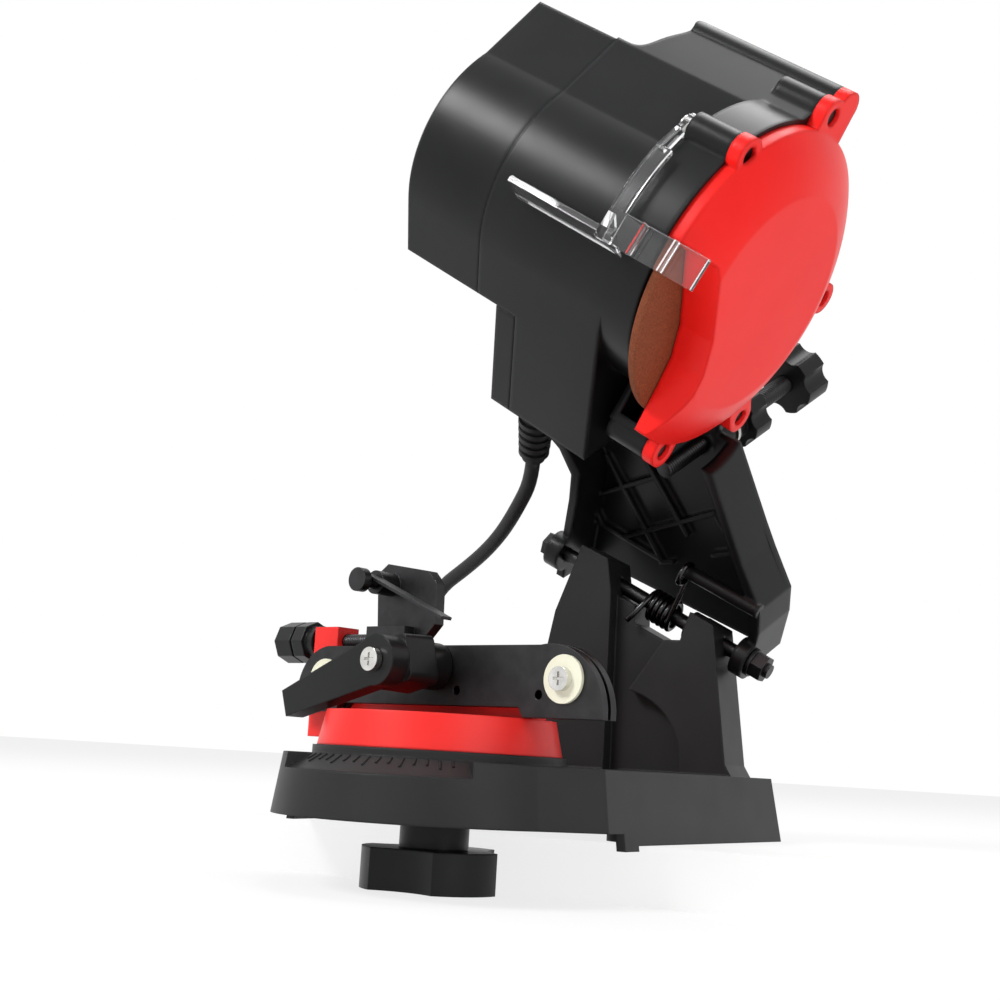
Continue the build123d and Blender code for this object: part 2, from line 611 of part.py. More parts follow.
# ---- clamp lever ------------------------------------------------------------------------------
LEVER_BACK = -RAIL_FACE - LOOSE
LEVER_FRONT = LEVER_BACK - LEVER_HUB_LEN - LEVER_ARM_THICK
with BuildPart() as clamp_lever:
    with BuildSketch(vise_front(LEVER_BACK)):
        with Locations((LEVER_X, LEVER_Z)):
            Circle(LEVER_COLLAR_R)
    extrude(amount=LEVER_COLLAR)
    with BuildSketch(vise_front(LEVER_BACK - LEVER_COLLAR)):
        with Locations((LEVER_X, LEVER_Z)):
            RectangleRounded(LEVER_HUB, LEVER_HUB, 3.0, rotation=15)
    extrude(amount=LEVER_HUB_LEN - LEVER_COLLAR, taper=2)
    with BuildSketch(vise_front(LEVER_FRONT + LEVER_ARM_THICK)):
        lean = math.atan2(LEVER_TIP[1] - LEVER_Z, LEVER_TIP[0] - LEVER_X)
        over = (-math.sin(lean), math.cos(lean))
        with Locations((LEVER_X, LEVER_Z)):
            Circle(LEVER_HUB / 2)
        Polygon(
            (LEVER_X + over[0] * LEVER_ROOT_W / 2, LEVER_Z + over[1] * LEVER_ROOT_W / 2),
            (LEVER_TIP[0] + over[0] * LEVER_TIP_W / 2, LEVER_TIP[1] + over[1] * LEVER_TIP_W / 2),
            (LEVER_TIP[0] - over[0] * LEVER_TIP_W / 2, LEVER_TIP[1] - over[1] * LEVER_TIP_W / 2),
            (LEVER_X - over[0] * LEVER_ROOT_W / 2, LEVER_Z - over[1] * LEVER_ROOT_W / 2),
            align=None,
        )
    extrude(amount=LEVER_ARM_THICK)
    with BuildSketch(vise_front(LEVER_BACK)):
        with Locations((LEVER_X, LEVER_Z)):
            Circle(LEVER_BOLT_R + RUN)
    extrude(amount=LEVER_HUB_LEN + LEVER_ARM_THICK, mode=Mode.SUBTRACT)
clamp_lever.part.label = "clamp_lever"
export_step(clamp_lever.part, "parts/clamp_lever.step")

with BuildPart() as lever_bolt:
    with BuildSketch(vise_front(LEVER_FRONT - LOOSE)):
        with Locations((LEVER_X, LEVER_Z)):
            Circle(LEVER_HEAD_R)
    extrude(amount=LEVER_HEAD_H)
    with BuildSketch(vise_front(LEVER_FRONT - LOOSE)):
        with Locations((LEVER_X, LEVER_Z)):
            Circle(LEVER_BOLT_R)
    extrude(amount=LEVER_FRONT - LOOSE - RAIL_FACE - BEAM_THICK - 6)
    with BuildSketch(vise_front(LEVER_FRONT - LOOSE - LEVER_HEAD_H)):
        with Locations((LEVER_X, LEVER_Z)):
            Rectangle(4.4, 0.9)
            Rectangle(0.9, 4.4)
    extrude(amount=-1.2, mode=Mode.SUBTRACT)
lever_bolt.part.label = "lever_bolt"
export_step(lever_bolt.part, "parts/lever_bolt.step")

with BuildPart() as lever_nut:
    with BuildSketch(vise_front(RAIL_FACE + BEAM_THICK)):
        with Locations((LEVER_X, LEVER_Z)):
            RegularPolygon(hex_r(STUD_AF), 6)
            Circle(LEVER_BOLT_R + RUN, mode=Mode.SUBTRACT)
    extrude(amount=-5)
lever_nut.part.label = "lever_nut"
export_step(lever_nut.part, "parts/lever_nut.step")

# ---- chain stop -------------------------------------------------------------------------------
with BuildPart() as stop_bracket:
    with BuildSketch(vise_front(STOP_PLATE_BACK)):
        Polygon((-45.5, 72.0), (-46.5, 84.0), (-46.2, 93.0), (-42.0, 96.0), (-20.5, 92.6), (-16.0, 88.0),
                (-15.6, 73.0), (-25.0, BEAM_TOP_Z + 2), (-40.0, BEAM_TOP_Z + 2), align=None)
    extrude(amount=STOP_PLATE_BACK - STOP_PLATE_FRONT)
    with BuildSketch(vise_front(STOP_PLATE_BACK)):
        with Locations(((STOP_BLOCK_LEFT + STOP_BLOCK_RIGHT) / 2, (BEAM_TOP_Z + LOOSE + POST_TOP_Z) / 2)):
            Rectangle(STOP_BLOCK_RIGHT - STOP_BLOCK_LEFT, POST_TOP_Z - BEAM_TOP_Z - LOOSE)
    extrude(amount=STOP_PLATE_BACK - STOP_BLOCK_FRONT)
    with BuildSketch(vise_front(STOP_PLATE_BACK)):
        with Locations((PAWL_X, PAWL_Z)):
            Circle(PAWL_ROD_R)
    extrude(amount=STOP_PLATE_BACK - PAWL_ROD_FRONT)
    with BuildSketch(vise_side(STOP_BLOCK_LEFT - 1)):
        with Locations((SCREW_BACK, SCREW_Z)):
            Circle(STOP_SCREW_R + RUN)
    extrude(amount=STOP_BLOCK_RIGHT - STOP_BLOCK_LEFT + 2, mode=Mode.SUBTRACT)
    with BuildSketch(vise_front(PAWL_ROD_FRONT)):
        with Locations((PAWL_X, PAWL_Z)):
            Circle(PAWL_BOLT_R)
    extrude(amount=-8, mode=Mode.SUBTRACT)
stop_bracket.part.label = "stop_bracket"
export_step(stop_bracket.part, "parts/stop_bracket.step")

PAWL_BACK = PAWL_ROD_FRONT - LOOSE
with BuildPart() as pawl_bolt:
    with BuildSketch(vise_front(PAWL_BACK - PAWL_WIDTH - LOOSE)):
        with Locations((PAWL_X, PAWL_Z)):
            Circle(PAWL_HEAD_R)
    extrude(amount=3.4)
    with BuildSketch(vise_front(PAWL_BACK - PAWL_WIDTH - LOOSE)):
        with Locations((PAWL_X, PAWL_Z)):
            Circle(PAWL_BOLT_R)
    extrude(amount=-PAWL_WIDTH - 2 * LOOSE - 8)
pawl_bolt.part.label = "pawl_bolt"
export_step(pawl_bolt.part, "parts/pawl_bolt.step")

PAWL_IN_R = PAWL_BOLT_R + RUN
EYE_R = PAWL_IN_R + PAWL_THICK
with BuildPart() as stop_pawl:
    with BuildSketch(vise_front(PAWL_BACK)):
        with Locations((PAWL_X, PAWL_Z)):
            Circle(EYE_R)
        fall = math.atan2(PAWL_TIP[1] - PAWL_Z, PAWL_TIP[0] - PAWL_X)
        over = (-math.sin(fall), math.cos(fall))
        Polygon(
            (PAWL_X + over[0] * EYE_R, PAWL_Z + over[1] * EYE_R),
            (PAWL_X + over[0] * PAWL_IN_R, PAWL_Z + over[1] * PAWL_IN_R),
            (PAWL_TIP[0] + over[0] * PAWL_IN_R, PAWL_TIP[1] + over[1] * PAWL_IN_R),
            (PAWL_TIP[0] + over[0] * EYE_R, PAWL_TIP[1] + over[1] * EYE_R),
            align=None,
        )
        with Locations((PAWL_X, PAWL_Z)):
            Circle(PAWL_BOLT_R + RUN, mode=Mode.SUBTRACT)
    extrude(amount=PAWL_WIDTH)
stop_pawl.part.label = "stop_pawl"
export_step(stop_pawl.part, "parts/stop_pawl.step")

with BuildPart() as stop_screw:
    with BuildSketch(vise_side(STOP_SCREW_LEFT)):
        with Locations((SCREW_BACK, SCREW_Z)):
            Circle(STOP_SCREW_R)
    extrude(amount=STOP_SCREW_RIGHT - STOP_SCREW_LEFT)
    with BuildSketch(vise_side(STOP_KNOB_FROM + 2)):
        with Locations((SCREW_BACK, SCREW_Z)):
            Circle(STOP_SCREW_R)
    extrude(amount=STOP_SCREW_LEFT - STOP_KNOB_FROM - 2)
stop_screw.part.label = "stop_screw"
export_step(stop_screw.part, "parts/stop_screw.step")

with BuildPart() as stop_knob:
    with BuildSketch(vise_side(STOP_KNOB_FROM)):
        with Locations((SCREW_BACK, SCREW_Z)):
            RegularPolygon(STOP_KNOB_R, 8)
    extrude(amount=STOP_KNOB_TO - STOP_KNOB_FROM)
    chamfer(stop_knob.faces().sort_by(Axis((0, 0, 0), VISE_RIGHT))[0].edges(), 1.6)
    with BuildSketch(vise_side(STOP_KNOB_FROM + 2)):
        with Locations((SCREW_BACK, SCREW_Z)):
            Circle(STOP_SCREW_R + RUN)
    extrude(amount=STOP_KNOB_TO - STOP_KNOB_FROM, mode=Mode.SUBTRACT)
stop_knob.part.label = "stop_knob"
export_step(stop_knob.part, "parts/stop_knob.step")

with BuildPart() as stop_lock_nut:
    with BuildSketch(vise_side(STOP_NUT_FROM)):
        with Locations((SCREW_BACK, SCREW_Z)):
            RegularPolygon(STOP_KNOB_R, 8)
    extrude(amount=(STOP_NUT_TO - STOP_NUT_FROM) * 0.6)
    with BuildSketch(vise_side(STOP_NUT_FROM)):
        with Locations((SCREW_BACK, SCREW_Z)):
            Circle(STOP_KNOB_R * 0.78)
    extrude(amount=STOP_NUT_TO - STOP_NUT_FROM)
    with BuildSketch(vise_side(STOP_NUT_FROM)):
        with Locations((SCREW_BACK, SCREW_Z)):
            Circle(STOP_SCREW_R + RUN)
    extrude(amount=STOP_NUT_TO - STOP_NUT_FROM, mode=Mode.SUBTRACT)
stop_lock_nut.part.label = "stop_lock_nut"
export_step(stop_lock_nut.part, "parts/stop_lock_nut.step")

# ---- motor housing with the arm ---------------------------------------------------------------
DIAG = math.sqrt(0.5)


def box_corner(long, deep):
    """Point of the switch box: long runs down its front face, deep runs back from that face."""
    return (-BODY_R * DIAG + (long + deep) * DIAG, -BODY_R * DIAG + (deep - long) * DIAG)


RIDGE_FRONT = ((-40.0, 24.0), (-26.0, 56.0))
RIDGE_TOP = ((-13.8, 73.0), (-2.0, 73.0), (0.0, 64.0))
CREST = (-7.9, 73.2)
CREST_R = 5.9
RIDGE_BACK = ((12.0, 57.0), (30.0, 37.0))
RIDGE_LOW_Z = 57.0
STEP_BACK = (12.0, -45.0)
DEPTH_AXIS = pin_point(*DEPTH_TIP) - pin_point(*DEPTH_KNOB)
DEPTH_LEN = DEPTH_AXIS.length
DEPTH_DIR = DEPTH_AXIS.normalized()
plate_away = (PIN_ORIGIN - ARM_FRONT * ARM_DEPTH - pin_point(*DEPTH_KNOB)).dot(ARM_FRONT)
DEPTH_BOSS_FROM = plate_away / DEPTH_DIR.dot(ARM_FRONT) - DEPTH_BOSS_BACK
ARM_PLATE = ((-43.0, -12.0), (-43.0, 22.0), (-44.0, 39.0), (-52.0, 48.0), (-58.0, 51.0), (-58.0, 84.0),
             (-44.0, 104.0), (16.0, 104.0), (17.0, 75.0), (43.0, 39.0), (54.0, 25.0), (54.0, -6.0))
ARM_LEFT_WALL = ((-43.0, -13.0), (-43.0, 27.0), (-44.0, 39.0), (-52.0, 48.0), (-58.0, 51.0), (-58.0, 55.0),
                 (-51.0, 52.0), (-40.0, 41.0), (-39.0, 27.0), (-39.0, -13.0))
ARM_RIGHT_WALL = ((13.0, 104.0), (17.0, 104.0), (17.0, 76.5), (42.0, 40.0), (54.0, 25.0), (56.0, 14.0),
                  (56.0, -4.0), (52.0, -8.0), (52.0, 14.0), (50.0, 23.0), (38.5, 38.0), (13.0, 75.0))
ARM_RIBS = (((-40.0, 43.7), (-3.1, 8.5)), ((-22.6, 52.8), (6.5, 26.7)), ((-40.0, 14.7), (-35.6, 10.2)),
            ((-40.0, 23.5), (-13.9, 45.6)), ((-23.3, 9.6), (16.6, 44.1)), ((-44.6, 46.9), (-36.0, 54.0)),
            ((-39.5, 9.7), (-4.1, 8.5)), ((-3.8, 7.1), (2.7, 10.9)), ((16.9, 42.8), (30.9, 29.9)),
            ((19.4, 23.8), (28.9, 30.7)))


def depth_plane(along):
    """Square to the depth screw, this far from its knob towards its tip."""
    return Plane(origin=pin_point(*DEPTH_KNOB) + DEPTH_DIR * along, x_dir=(0, 1, 0), z_dir=DEPTH_DIR)


CAP_WALL = 3.2
CAP_EDGE_R = 3.0
CAP_SCREW_TURN = 22.0
CAP_SCREW_R = 2.0
CAP_BOSS_R = 4.6
CAP_SCREW_AT = BODY_R - CASE_WALL - CAP_BOSS_R + 0.3
CAP_SCREW_HEAD_R = 3.3
CAP_SCREW_HEAD_H = 2.4
CAP_SCREW_HEAD_FROM = -92.0
CAP_SCREW_TO = -63.0
VENT_W = 2.6
VENT_LONG = 22.0


back_run = Vector(0, RIDGE_BACK[1][0] - RIDGE_BACK[0][0], RIDGE_BACK[1][1] - RIDGE_BACK[0][1]).normalized()
switch_out = Vector(0, -back_run.Z, 0) + HEAD_UP * back_run.Y
switch_mid = head_point(SWITCH_FROM + SWITCH_LONG / 2, (RIDGE_BACK[0][0] + RIDGE_BACK[1][0]) / 2,
                        (RIDGE_BACK[0][1] + RIDGE_BACK[1][1]) / 2)
BEZEL_H = 1.6
BEZEL_LIP = 1.6
SLOT_DEEP = 9.0
ROCKER_PIVOT = -2.0
ROCKER_REST = 8.0
ROCKER_PIN_R = 1.0
ROCKER_PIN_LONG = 1.0
ROCKER_SIDE = ((-9.5, 2.6), (0, 1.6), (9.5, 2.6), (8.8, -1.5), (3.0, -6.0), (-3.0, -6.0), (-8.8, -1.5))


def switch_plane(out):
    """Sketches read (along the shaft, across); out of the ridge's rear face."""
    return Plane(origin=switch_mid + switch_out * out, x_dir=HEAD_DIR, z_dir=switch_out)


SWITCH_ACROSS = switch_out.cross(HEAD_DIR)


def rocker_plane(across):
    """Sketches read (along the shaft, out)."""
    return Plane(origin=switch_mid + SWITCH_ACROSS * across, x_dir=HEAD_DIR, z_dir=SWITCH_ACROSS * -1)


GLAND_FOOT = head_point(GLAND_AT, *box_corner(BOX_LONG, GLAND_DEEP))
GLAND_DIR = (Vector(0, 1, 0) - HEAD_UP).normalized()


def gland_plane(along):
    return Plane(origin=GLAND_FOOT + GLAND_DIR * along, x_dir=HEAD_DIR, z_dir=GLAND_DIR)


with BuildPart() as motor_housing:
    with BuildSketch(head_plane(CHAMBER_BACK)):
        Circle(CHAMBER_R)
    extrude(amount=CHAMBER_PLATE)
    with BuildSketch(head_plane(CHAMBER_BACK)):
        Circle(CHAMBER_R)
        Circle(CHAMBER_R - CHAMBER_WALL, mode=Mode.SUBTRACT)
    extrude(amount=GUARD_FROM - CHAMBER_BACK)
    with BuildSketch(head_plane(CHAMBER_BACK)):
        Polygon((0, 0), (-2 * CHAMBER_R, -4.0), (-2 * CHAMBER_R, -2 * CHAMBER_R), (13.0, -2 * CHAMBER_R),
                align=None)
    extrude(amount=GUARD_FROM - CHAMBER_BACK, mode=Mode.SUBTRACT)
    with BuildSketch(head_plane(BODY_FROM)):
        Circle(BODY_R)
    extrude(amount=BODY_TO - BODY_FROM)
    with BuildSketch(head_plane(BODY_FROM)):
        Polygon(box_corner(0, 0), box_corner(STEP_LONG, 0), STEP_BACK, (0, 0), align=None)
    extrude(amount=BOX_SEAM - BODY_FROM)
    with BuildSketch(head_plane(BOX_SEAM)):
        Polygon(box_corner(0, 0), box_corner(BOX_LONG, 0), box_corner(BOX_LONG, BOX_DEEP),
                box_corner(0, BOX_DEEP + 10), align=None)
    extrude(amount=BOX_TO - BOX_SEAM)
    with BuildSketch(head_plane(BODY_FROM)):
        Polygon(*RIDGE_FRONT, *RIDGE_TOP, *RIDGE_BACK, align=None)
        with Locations(CREST):
            Circle(CREST_R)
    extrude(amount=GUARD_FROM - BODY_FROM)
    with BuildSketch(HEAD_SIDE):
        with BuildLine():
            ramp = Spline((-75.0, RIDGE_LOW_Z), (-70.0, 58.6), (-66.0, 66.5), (-62.0, 75.0), (-57.0, 79.2),
                          tangents=[(1, 0), (1, 0)])
            Polyline(ramp @ 1, (-57.0, 90.0), (-82.0, 90.0), (-82.0, RIDGE_LOW_Z), ramp @ 0)
        make_face()
    extrude(amount=CHAMBER_R, both=True, mode=Mode.SUBTRACT)
    with BuildSketch(arm_plane(-ARM_DEPTH)):
        Polygon(*ARM_PLATE, align=None)
    extrude(amount=PLATE_WALL)
    with BuildSketch(arm_plane(-ARM_DEPTH)):
        Polygon(*ARM_LEFT_WALL, align=None)
        Polygon(*ARM_RIGHT_WALL, align=None)
    extrude(amount=ARM_DEPTH)
    with BuildSketch(arm_plane(-ARM_DEPTH)):
        for start, end in ARM_RIBS:
            rib_mid = ((start[0] + end[0]) / 2, (start[1] + end[1]) / 2)
            rib_len = math.dist(start, end)
            rib_turn = math.degrees(math.atan2(end[1] - start[1], end[0] - start[0]))
            with Locations(rib_mid):
                Rectangle(rib_len, ARM_RIB, rotation=rib_turn)
    extrude(amount=PLATE_WALL + ARM_RIB_H)
    with BuildSketch(pin_plane(ARM_LEFT)):
        Circle(ARM_BOSS_R)
    extrude(amount=ARM_WALL + 3)
    with BuildSketch(pin_plane(ARM_RIGHT - ARM_WALL - 2)):
        Circle(ARM_BOSS_R)
    extrude(amount=ARM_WALL + 2)
    with BuildSketch(pin_plane(PEG_FROM)):
        with Locations(PEG):
            Circle(PEG_R)
    extrude(amount=PEG_TO - PEG_FROM)
    with BuildSketch(depth_plane(DEPTH_BOSS_FROM)):
        Circle(DEPTH_BOSS_R)
    extrude(amount=DEPTH_BOSS_LEN)
    with BuildSketch(head_plane(CHAMBER_BACK + CHAMBER_PLATE)):
        Circle(CHAMBER_R - CHAMBER_WALL)
        Circle(BODY_R, mode=Mode.SUBTRACT)
    extrude(amount=GUARD_FROM - CHAMBER_BACK, mode=Mode.SUBTRACT)
    with BuildSketch(head_plane(BODY_TO)):
        Circle(CHAMBER_R - CHAMBER_WALL)
    extrude(amount=GUARD_FACE - BODY_TO, mode=Mode.SUBTRACT)
    with BuildSketch(head_plane(GUARD_FROM)):
        Circle(CHAMBER_R + 2 * LOBE_R)
    extrude(amount=2 * GUARD_FACE, mode=Mode.SUBTRACT)
    for back, up in BOSSES:
        reach = math.hypot(back, up)
        turn = math.degrees(math.atan2(up, back))
        link = reach - CHAMBER_R + CHAMBER_WALL
        with BuildSketch(head_plane(CHAMBER_BACK)):
            with Locations((back, up)):
                Circle(BOSS_R)
            with Locations((back * (1 - link / 2 / reach), up * (1 - link / 2 / reach))):
                Rectangle(link, 2 * BOSS_R, rotation=turn)
            Circle(CHAMBER_R - CHAMBER_WALL, mode=Mode.SUBTRACT)
        extrude(amount=GUARD_FROM - CHAMBER_BACK)
    with BuildSketch(head_plane(BODY_FROM)):
        Circle(BODY_R - CASE_WALL)
    extrude(amount=BODY_TO - CASE_WALL - BODY_FROM, mode=Mode.SUBTRACT)
    with BuildSketch(head_plane(BOX_SEAM)):
        Polygon(box_corner(BOX_WALL, BOX_WALL), box_corner(BOX_LONG - BOX_WALL, BOX_WALL),
                box_corner(BOX_LONG - BOX_WALL, BOX_DEEP - BOX_WALL), box_corner(BOX_WALL, BOX_DEEP - BOX_WALL),
                align=None)
    extrude(amount=BOX_TO - BOX_WALL - BOX_SEAM, mode=Mode.SUBTRACT)
    with BuildSketch(head_plane(FRONT_BEARING_FROM)):
        Circle(BEARING_R + CASE_WALL)
    extrude(amount=BODY_TO - FRONT_BEARING_FROM)
    with BuildSketch(head_plane(BODY_FROM)):
        with PolarLocations(CAP_SCREW_AT, 4, start_angle=CAP_SCREW_TURN):
            Circle(CAP_BOSS_R)
    extrude(amount=BOX_SEAM - BODY_FROM)
    with BuildSketch(head_plane(BODY_FROM)):
        with PolarLocations(CAP_SCREW_AT, 4, start_angle=CAP_SCREW_TURN):
            Circle(CAP_SCREW_R + RUN)
    extrude(amount=BOX_SEAM - BODY_FROM, mode=Mode.SUBTRACT)
    with BuildSketch(head_plane(FRONT_BEARING_FROM)):
        Circle(BEARING_R)
    extrude(amount=BEARING_W, mode=Mode.SUBTRACT)
    with BuildSketch(head_plane(FRONT_BEARING_FROM)):
        Circle(SHAFT_R + 1)
    extrude(amount=BODY_TO - FRONT_BEARING_FROM, mode=Mode.SUBTRACT)
    for back, up in BOSSES:
        with BuildSketch(head_plane(GUARD_FROM)):
            with Locations((back, up)):
                Circle(GUARD_SCREW_R)
        extrude(amount=-GUARD_SCREW_LEN, mode=Mode.SUBTRACT)
    with BuildSketch(pin_plane(ARM_LEFT - 1)):
        Circle(PIN_R + RUN)
    extrude(amount=ARM_RIGHT - ARM_LEFT + 2, mode=Mode.SUBTRACT)
    with BuildSketch(depth_plane(DEPTH_BOSS_FROM - 1)):
        Circle(DEPTH_R + RUN)
    extrude(amount=DEPTH_BOSS_LEN + 2 * ARM_WALL, mode=Mode.SUBTRACT)
    with BuildSketch(switch_plane(0)):
        Rectangle(SWITCH_LONG + 2 * DROP_IN, SWITCH_WIDE + 2 * DROP_IN)
    extrude(amount=-SWITCH_DEEP - 2, mode=Mode.SUBTRACT)
    with BuildSketch(gland_plane(-BOX_WALL - 1)):
        Circle(CORD_R + DROP_IN)
    extrude(amount=BOX_WALL + 2, mode=Mode.SUBTRACT)
    with BuildSketch(head_plane(CHAMBER_BACK)):
        with Locations(BOSSES[1]):
            Circle(VISOR_PIN_R)
    extrude(amount=3, mode=Mode.SUBTRACT)
motor_housing.part.label = "motor_housing"
export_step(motor_housing.part, "parts/motor_housing.step")

# ---- rear cap ---------------------------------------------------------------------------------
with BuildPart() as rear_cap:
    with BuildSketch(head_plane(CAP_FROM)):
        Circle(BODY_R)
        Polygon(box_corner(0, 0), box_corner(STEP_LONG, 0), STEP_BACK, (0, 0), align=None)
        Polygon(*RIDGE_FRONT, (RIDGE_BACK[0][0], RIDGE_LOW_Z), RIDGE_BACK[1], (0, 0), align=None)
    extrude(amount=BODY_FROM - CAP_FROM)
    rear_edges = rear_cap.faces().sort_by(HEAD_AXIS)[0].edges()
    chamfer(rear_edges, CAP_EDGE_R / 2)
    with BuildSketch(head_plane(CAP_FROM + CAP_WALL)):
        Circle(BODY_R - CASE_WALL)
    extrude(amount=BODY_FROM - CAP_FROM - CAP_WALL, mode=Mode.SUBTRACT)
    with BuildSketch(head_plane(CAP_FROM + CAP_WALL)):
        with PolarLocations(CAP_SCREW_AT, 4, start_angle=CAP_SCREW_TURN):
            Circle(CAP_BOSS_R)
        Circle(BEARING_R + CASE_WALL)
    extrude(amount=BEARING_W)
    with BuildSketch(head_plane(CAP_FROM + CAP_WALL)):
        with PolarLocations(CAP_SCREW_AT, 4, start_angle=CAP_SCREW_TURN):
            Circle(CAP_BOSS_R)
    extrude(amount=BODY_FROM - CAP_FROM - CAP_WALL)
    with BuildSketch(head_plane(CAP_FROM)):
        with PolarLocations(CAP_SCREW_AT, 4, start_angle=CAP_SCREW_TURN):
            Circle(CAP_SCREW_HEAD_R + LOOSE)
    extrude(amount=CAP_SCREW_HEAD_FROM + CAP_SCREW_HEAD_H - CAP_FROM, mode=Mode.SUBTRACT)
    with BuildSketch(head_plane(CAP_FROM)):
        with PolarLocations(CAP_SCREW_AT, 4, start_angle=CAP_SCREW_TURN):
            Circle(CAP_SCREW_R + RUN)
    extrude(amount=BODY_FROM - CAP_FROM, mode=Mode.SUBTRACT)
    with BuildSketch(head_plane(REAR_BEARING_FROM)):
        Circle(BEARING_R)
    extrude(amount=BEARING_W + 1, mode=Mode.SUBTRACT)
    with BuildSketch(head_plane(CAP_FROM)):
        for vent in range(-3, 4):
            if vent:
                with Locations((vent * 2.2 * VENT_W, -0.55 * BODY_R)):
                    SlotOverall(VENT_LONG, VENT_W, rotation=90)
    extrude(amount=CAP_WALL, mode=Mode.SUBTRACT)
rear_cap.part.label = "rear_cap"
export_step(rear_cap.part, "parts/rear_cap.step")

with BuildPart() as cap_screws:
    with BuildSketch(head_plane(CAP_SCREW_HEAD_FROM)):
        with PolarLocations(CAP_SCREW_AT, 4, start_angle=CAP_SCREW_TURN):
            Circle(CAP_SCREW_HEAD_R)
    extrude(amount=CAP_SCREW_HEAD_H)
    with BuildSketch(head_plane(CAP_SCREW_HEAD_FROM)):
        with PolarLocations(CAP_SCREW_AT, 4, start_angle=CAP_SCREW_TURN):
            Circle(CAP_SCREW_R)
    extrude(amount=CAP_SCREW_TO - CAP_SCREW_HEAD_FROM)
cap_screws.part.label = "cap_screws"
export_step(cap_screws.part, "parts/cap_screws.step")

# ---- switch box cover and switch --------------------------------------------------------------
with BuildPart() as switch_box_cover:
    with BuildSketch(head_plane(BOX_FROM)):
        Polygon(box_corner(STEP_LONG + LOOSE, 0), box_corner(BOX_LONG, 0), box_corner(BOX_LONG, BOX_DEEP),
                box_corner(STEP_LONG + LOOSE, BOX_DEEP), align=None)
    extrude(amount=BOX_SEAM - BOX_FROM)
    with BuildSketch(head_plane(BOX_SEAM)):
        Polygon(box_corner(STEP_LONG + BOX_WALL, BOX_WALL), box_corner(BOX_LONG - BOX_WALL, BOX_WALL),
                box_corner(BOX_LONG - BOX_WALL, BOX_DEEP - BOX_WALL),
                box_corner(STEP_LONG + BOX_WALL, BOX_DEEP - BOX_WALL), align=None)
    extrude(amount=BOX_FROM - BOX_SEAM + BOX_WALL, mode=Mode.SUBTRACT)
    with BuildSketch(head_plane(BOX_FROM)):
        Circle(BODY_R)
        Polygon(box_corner(0, 0), box_corner(STEP_LONG, 0), STEP_BACK, (0, 0), align=None)
        offset(amount=DROP_IN, mode=Mode.REPLACE)
    extrude(amount=BOX_SEAM - BOX_FROM, mode=Mode.SUBTRACT)
switch_box_cover.part.label = "switch_box_cover"
export_step(switch_box_cover.part, "parts/switch_box_cover.step")

with BuildPart() as switch_body:
    with BuildSketch(switch_plane(-SWITCH_DEEP)):
        Rectangle(SWITCH_LONG, SWITCH_WIDE)
    extrude(amount=SWITCH_DEEP)
    with BuildSketch(switch_plane(0)):
        RectangleRounded(SWITCH_LONG + 2 * BEZEL_LIP, SWITCH_WIDE + 2 * BEZEL_LIP, 2.0)
    extrude(amount=BEZEL_H)
    with BuildSketch(switch_plane(BEZEL_H)):
        Rectangle(ROCKER_LONG + 3 * LOOSE, ROCKER_WIDE + 2 * LOOSE)
    extrude(amount=-SLOT_DEEP - BEZEL_H, mode=Mode.SUBTRACT)
    with BuildSketch(rocker_plane(0)):
        with Locations((0, ROCKER_PIVOT)):
            Circle(ROCKER_PIN_R + RUN)
    extrude(amount=ROCKER_WIDE / 2 + ROCKER_PIN_LONG + LOOSE, both=True, mode=Mode.SUBTRACT)
switch_body.part.label = "switch_body"
export_step(switch_body.part, "parts/switch_body.step")

with BuildPart() as switch_rocker:
    with BuildSketch(rocker_plane(-ROCKER_WIDE / 2)) as rocker_side:
        with Locations((0, ROCKER_PIVOT)):
            with Locations(Location((0, 0, 0), (0, 0, ROCKER_REST))):
                Polygon(*((x, y - ROCKER_PIVOT) for x, y in ROCKER_SIDE), align=None)
    extrude(amount=-ROCKER_WIDE)
    with BuildSketch(rocker_plane(0)):
        with Locations((0, ROCKER_PIVOT)):
            Circle(ROCKER_PIN_R)
    extrude(amount=ROCKER_WIDE / 2 + ROCKER_PIN_LONG, both=True)
switch_rocker.part.label = "switch_rocker"
export_step(switch_rocker.part, "parts/switch_rocker.step")

# ---- guard ------------------------------------------------------------------------------------
OPENING = ((-80.0, -1.5), (-46.0, -1.0), (-21.0, -22.0), (-13.0, -33.0), (-10.0, -45.0), (-7.0, -61.0),
           (-6.0, -80.0), (-80.0, -80.0))
TIP = ((-13.8, 60.0), (-13.8, 73.0), (-2.0, 73.0), (0.5, 60.0))
GUARD_DEEP = GUARD_FACE - GUARD_FROM
with BuildPart() as guard_room:
    with BuildSketch(HEAD_RADIAL):
        with BuildLine():
            room_arc = ThreePointArc((GUARD_R - GUARD_WALL, GUARD_FROM + GUARD_RIM - 1.4),
                                     (GUARD_MID_R - 1.0, GUARD_MID - 2.2),
                                     (GUARD_FLAT_R - 1.0, GUARD_FACE - GUARD_WALL))
            Polyline(room_arc @ 1, (0, GUARD_FACE - GUARD_WALL), (0, GUARD_FROM),
                     (GUARD_R - GUARD_WALL, GUARD_FROM), room_arc @ 0)
        make_face()
    revolve(axis=HEAD_AXIS)
    with BuildSketch(head_plane(GUARD_FROM)):
        Polygon(*OPENING, align=None)
        offset(amount=GUARD_WALL, kind=Kind.INTERSECTION, mode=Mode.REPLACE)
    extrude(amount=GUARD_DEEP, mode=Mode.SUBTRACT)

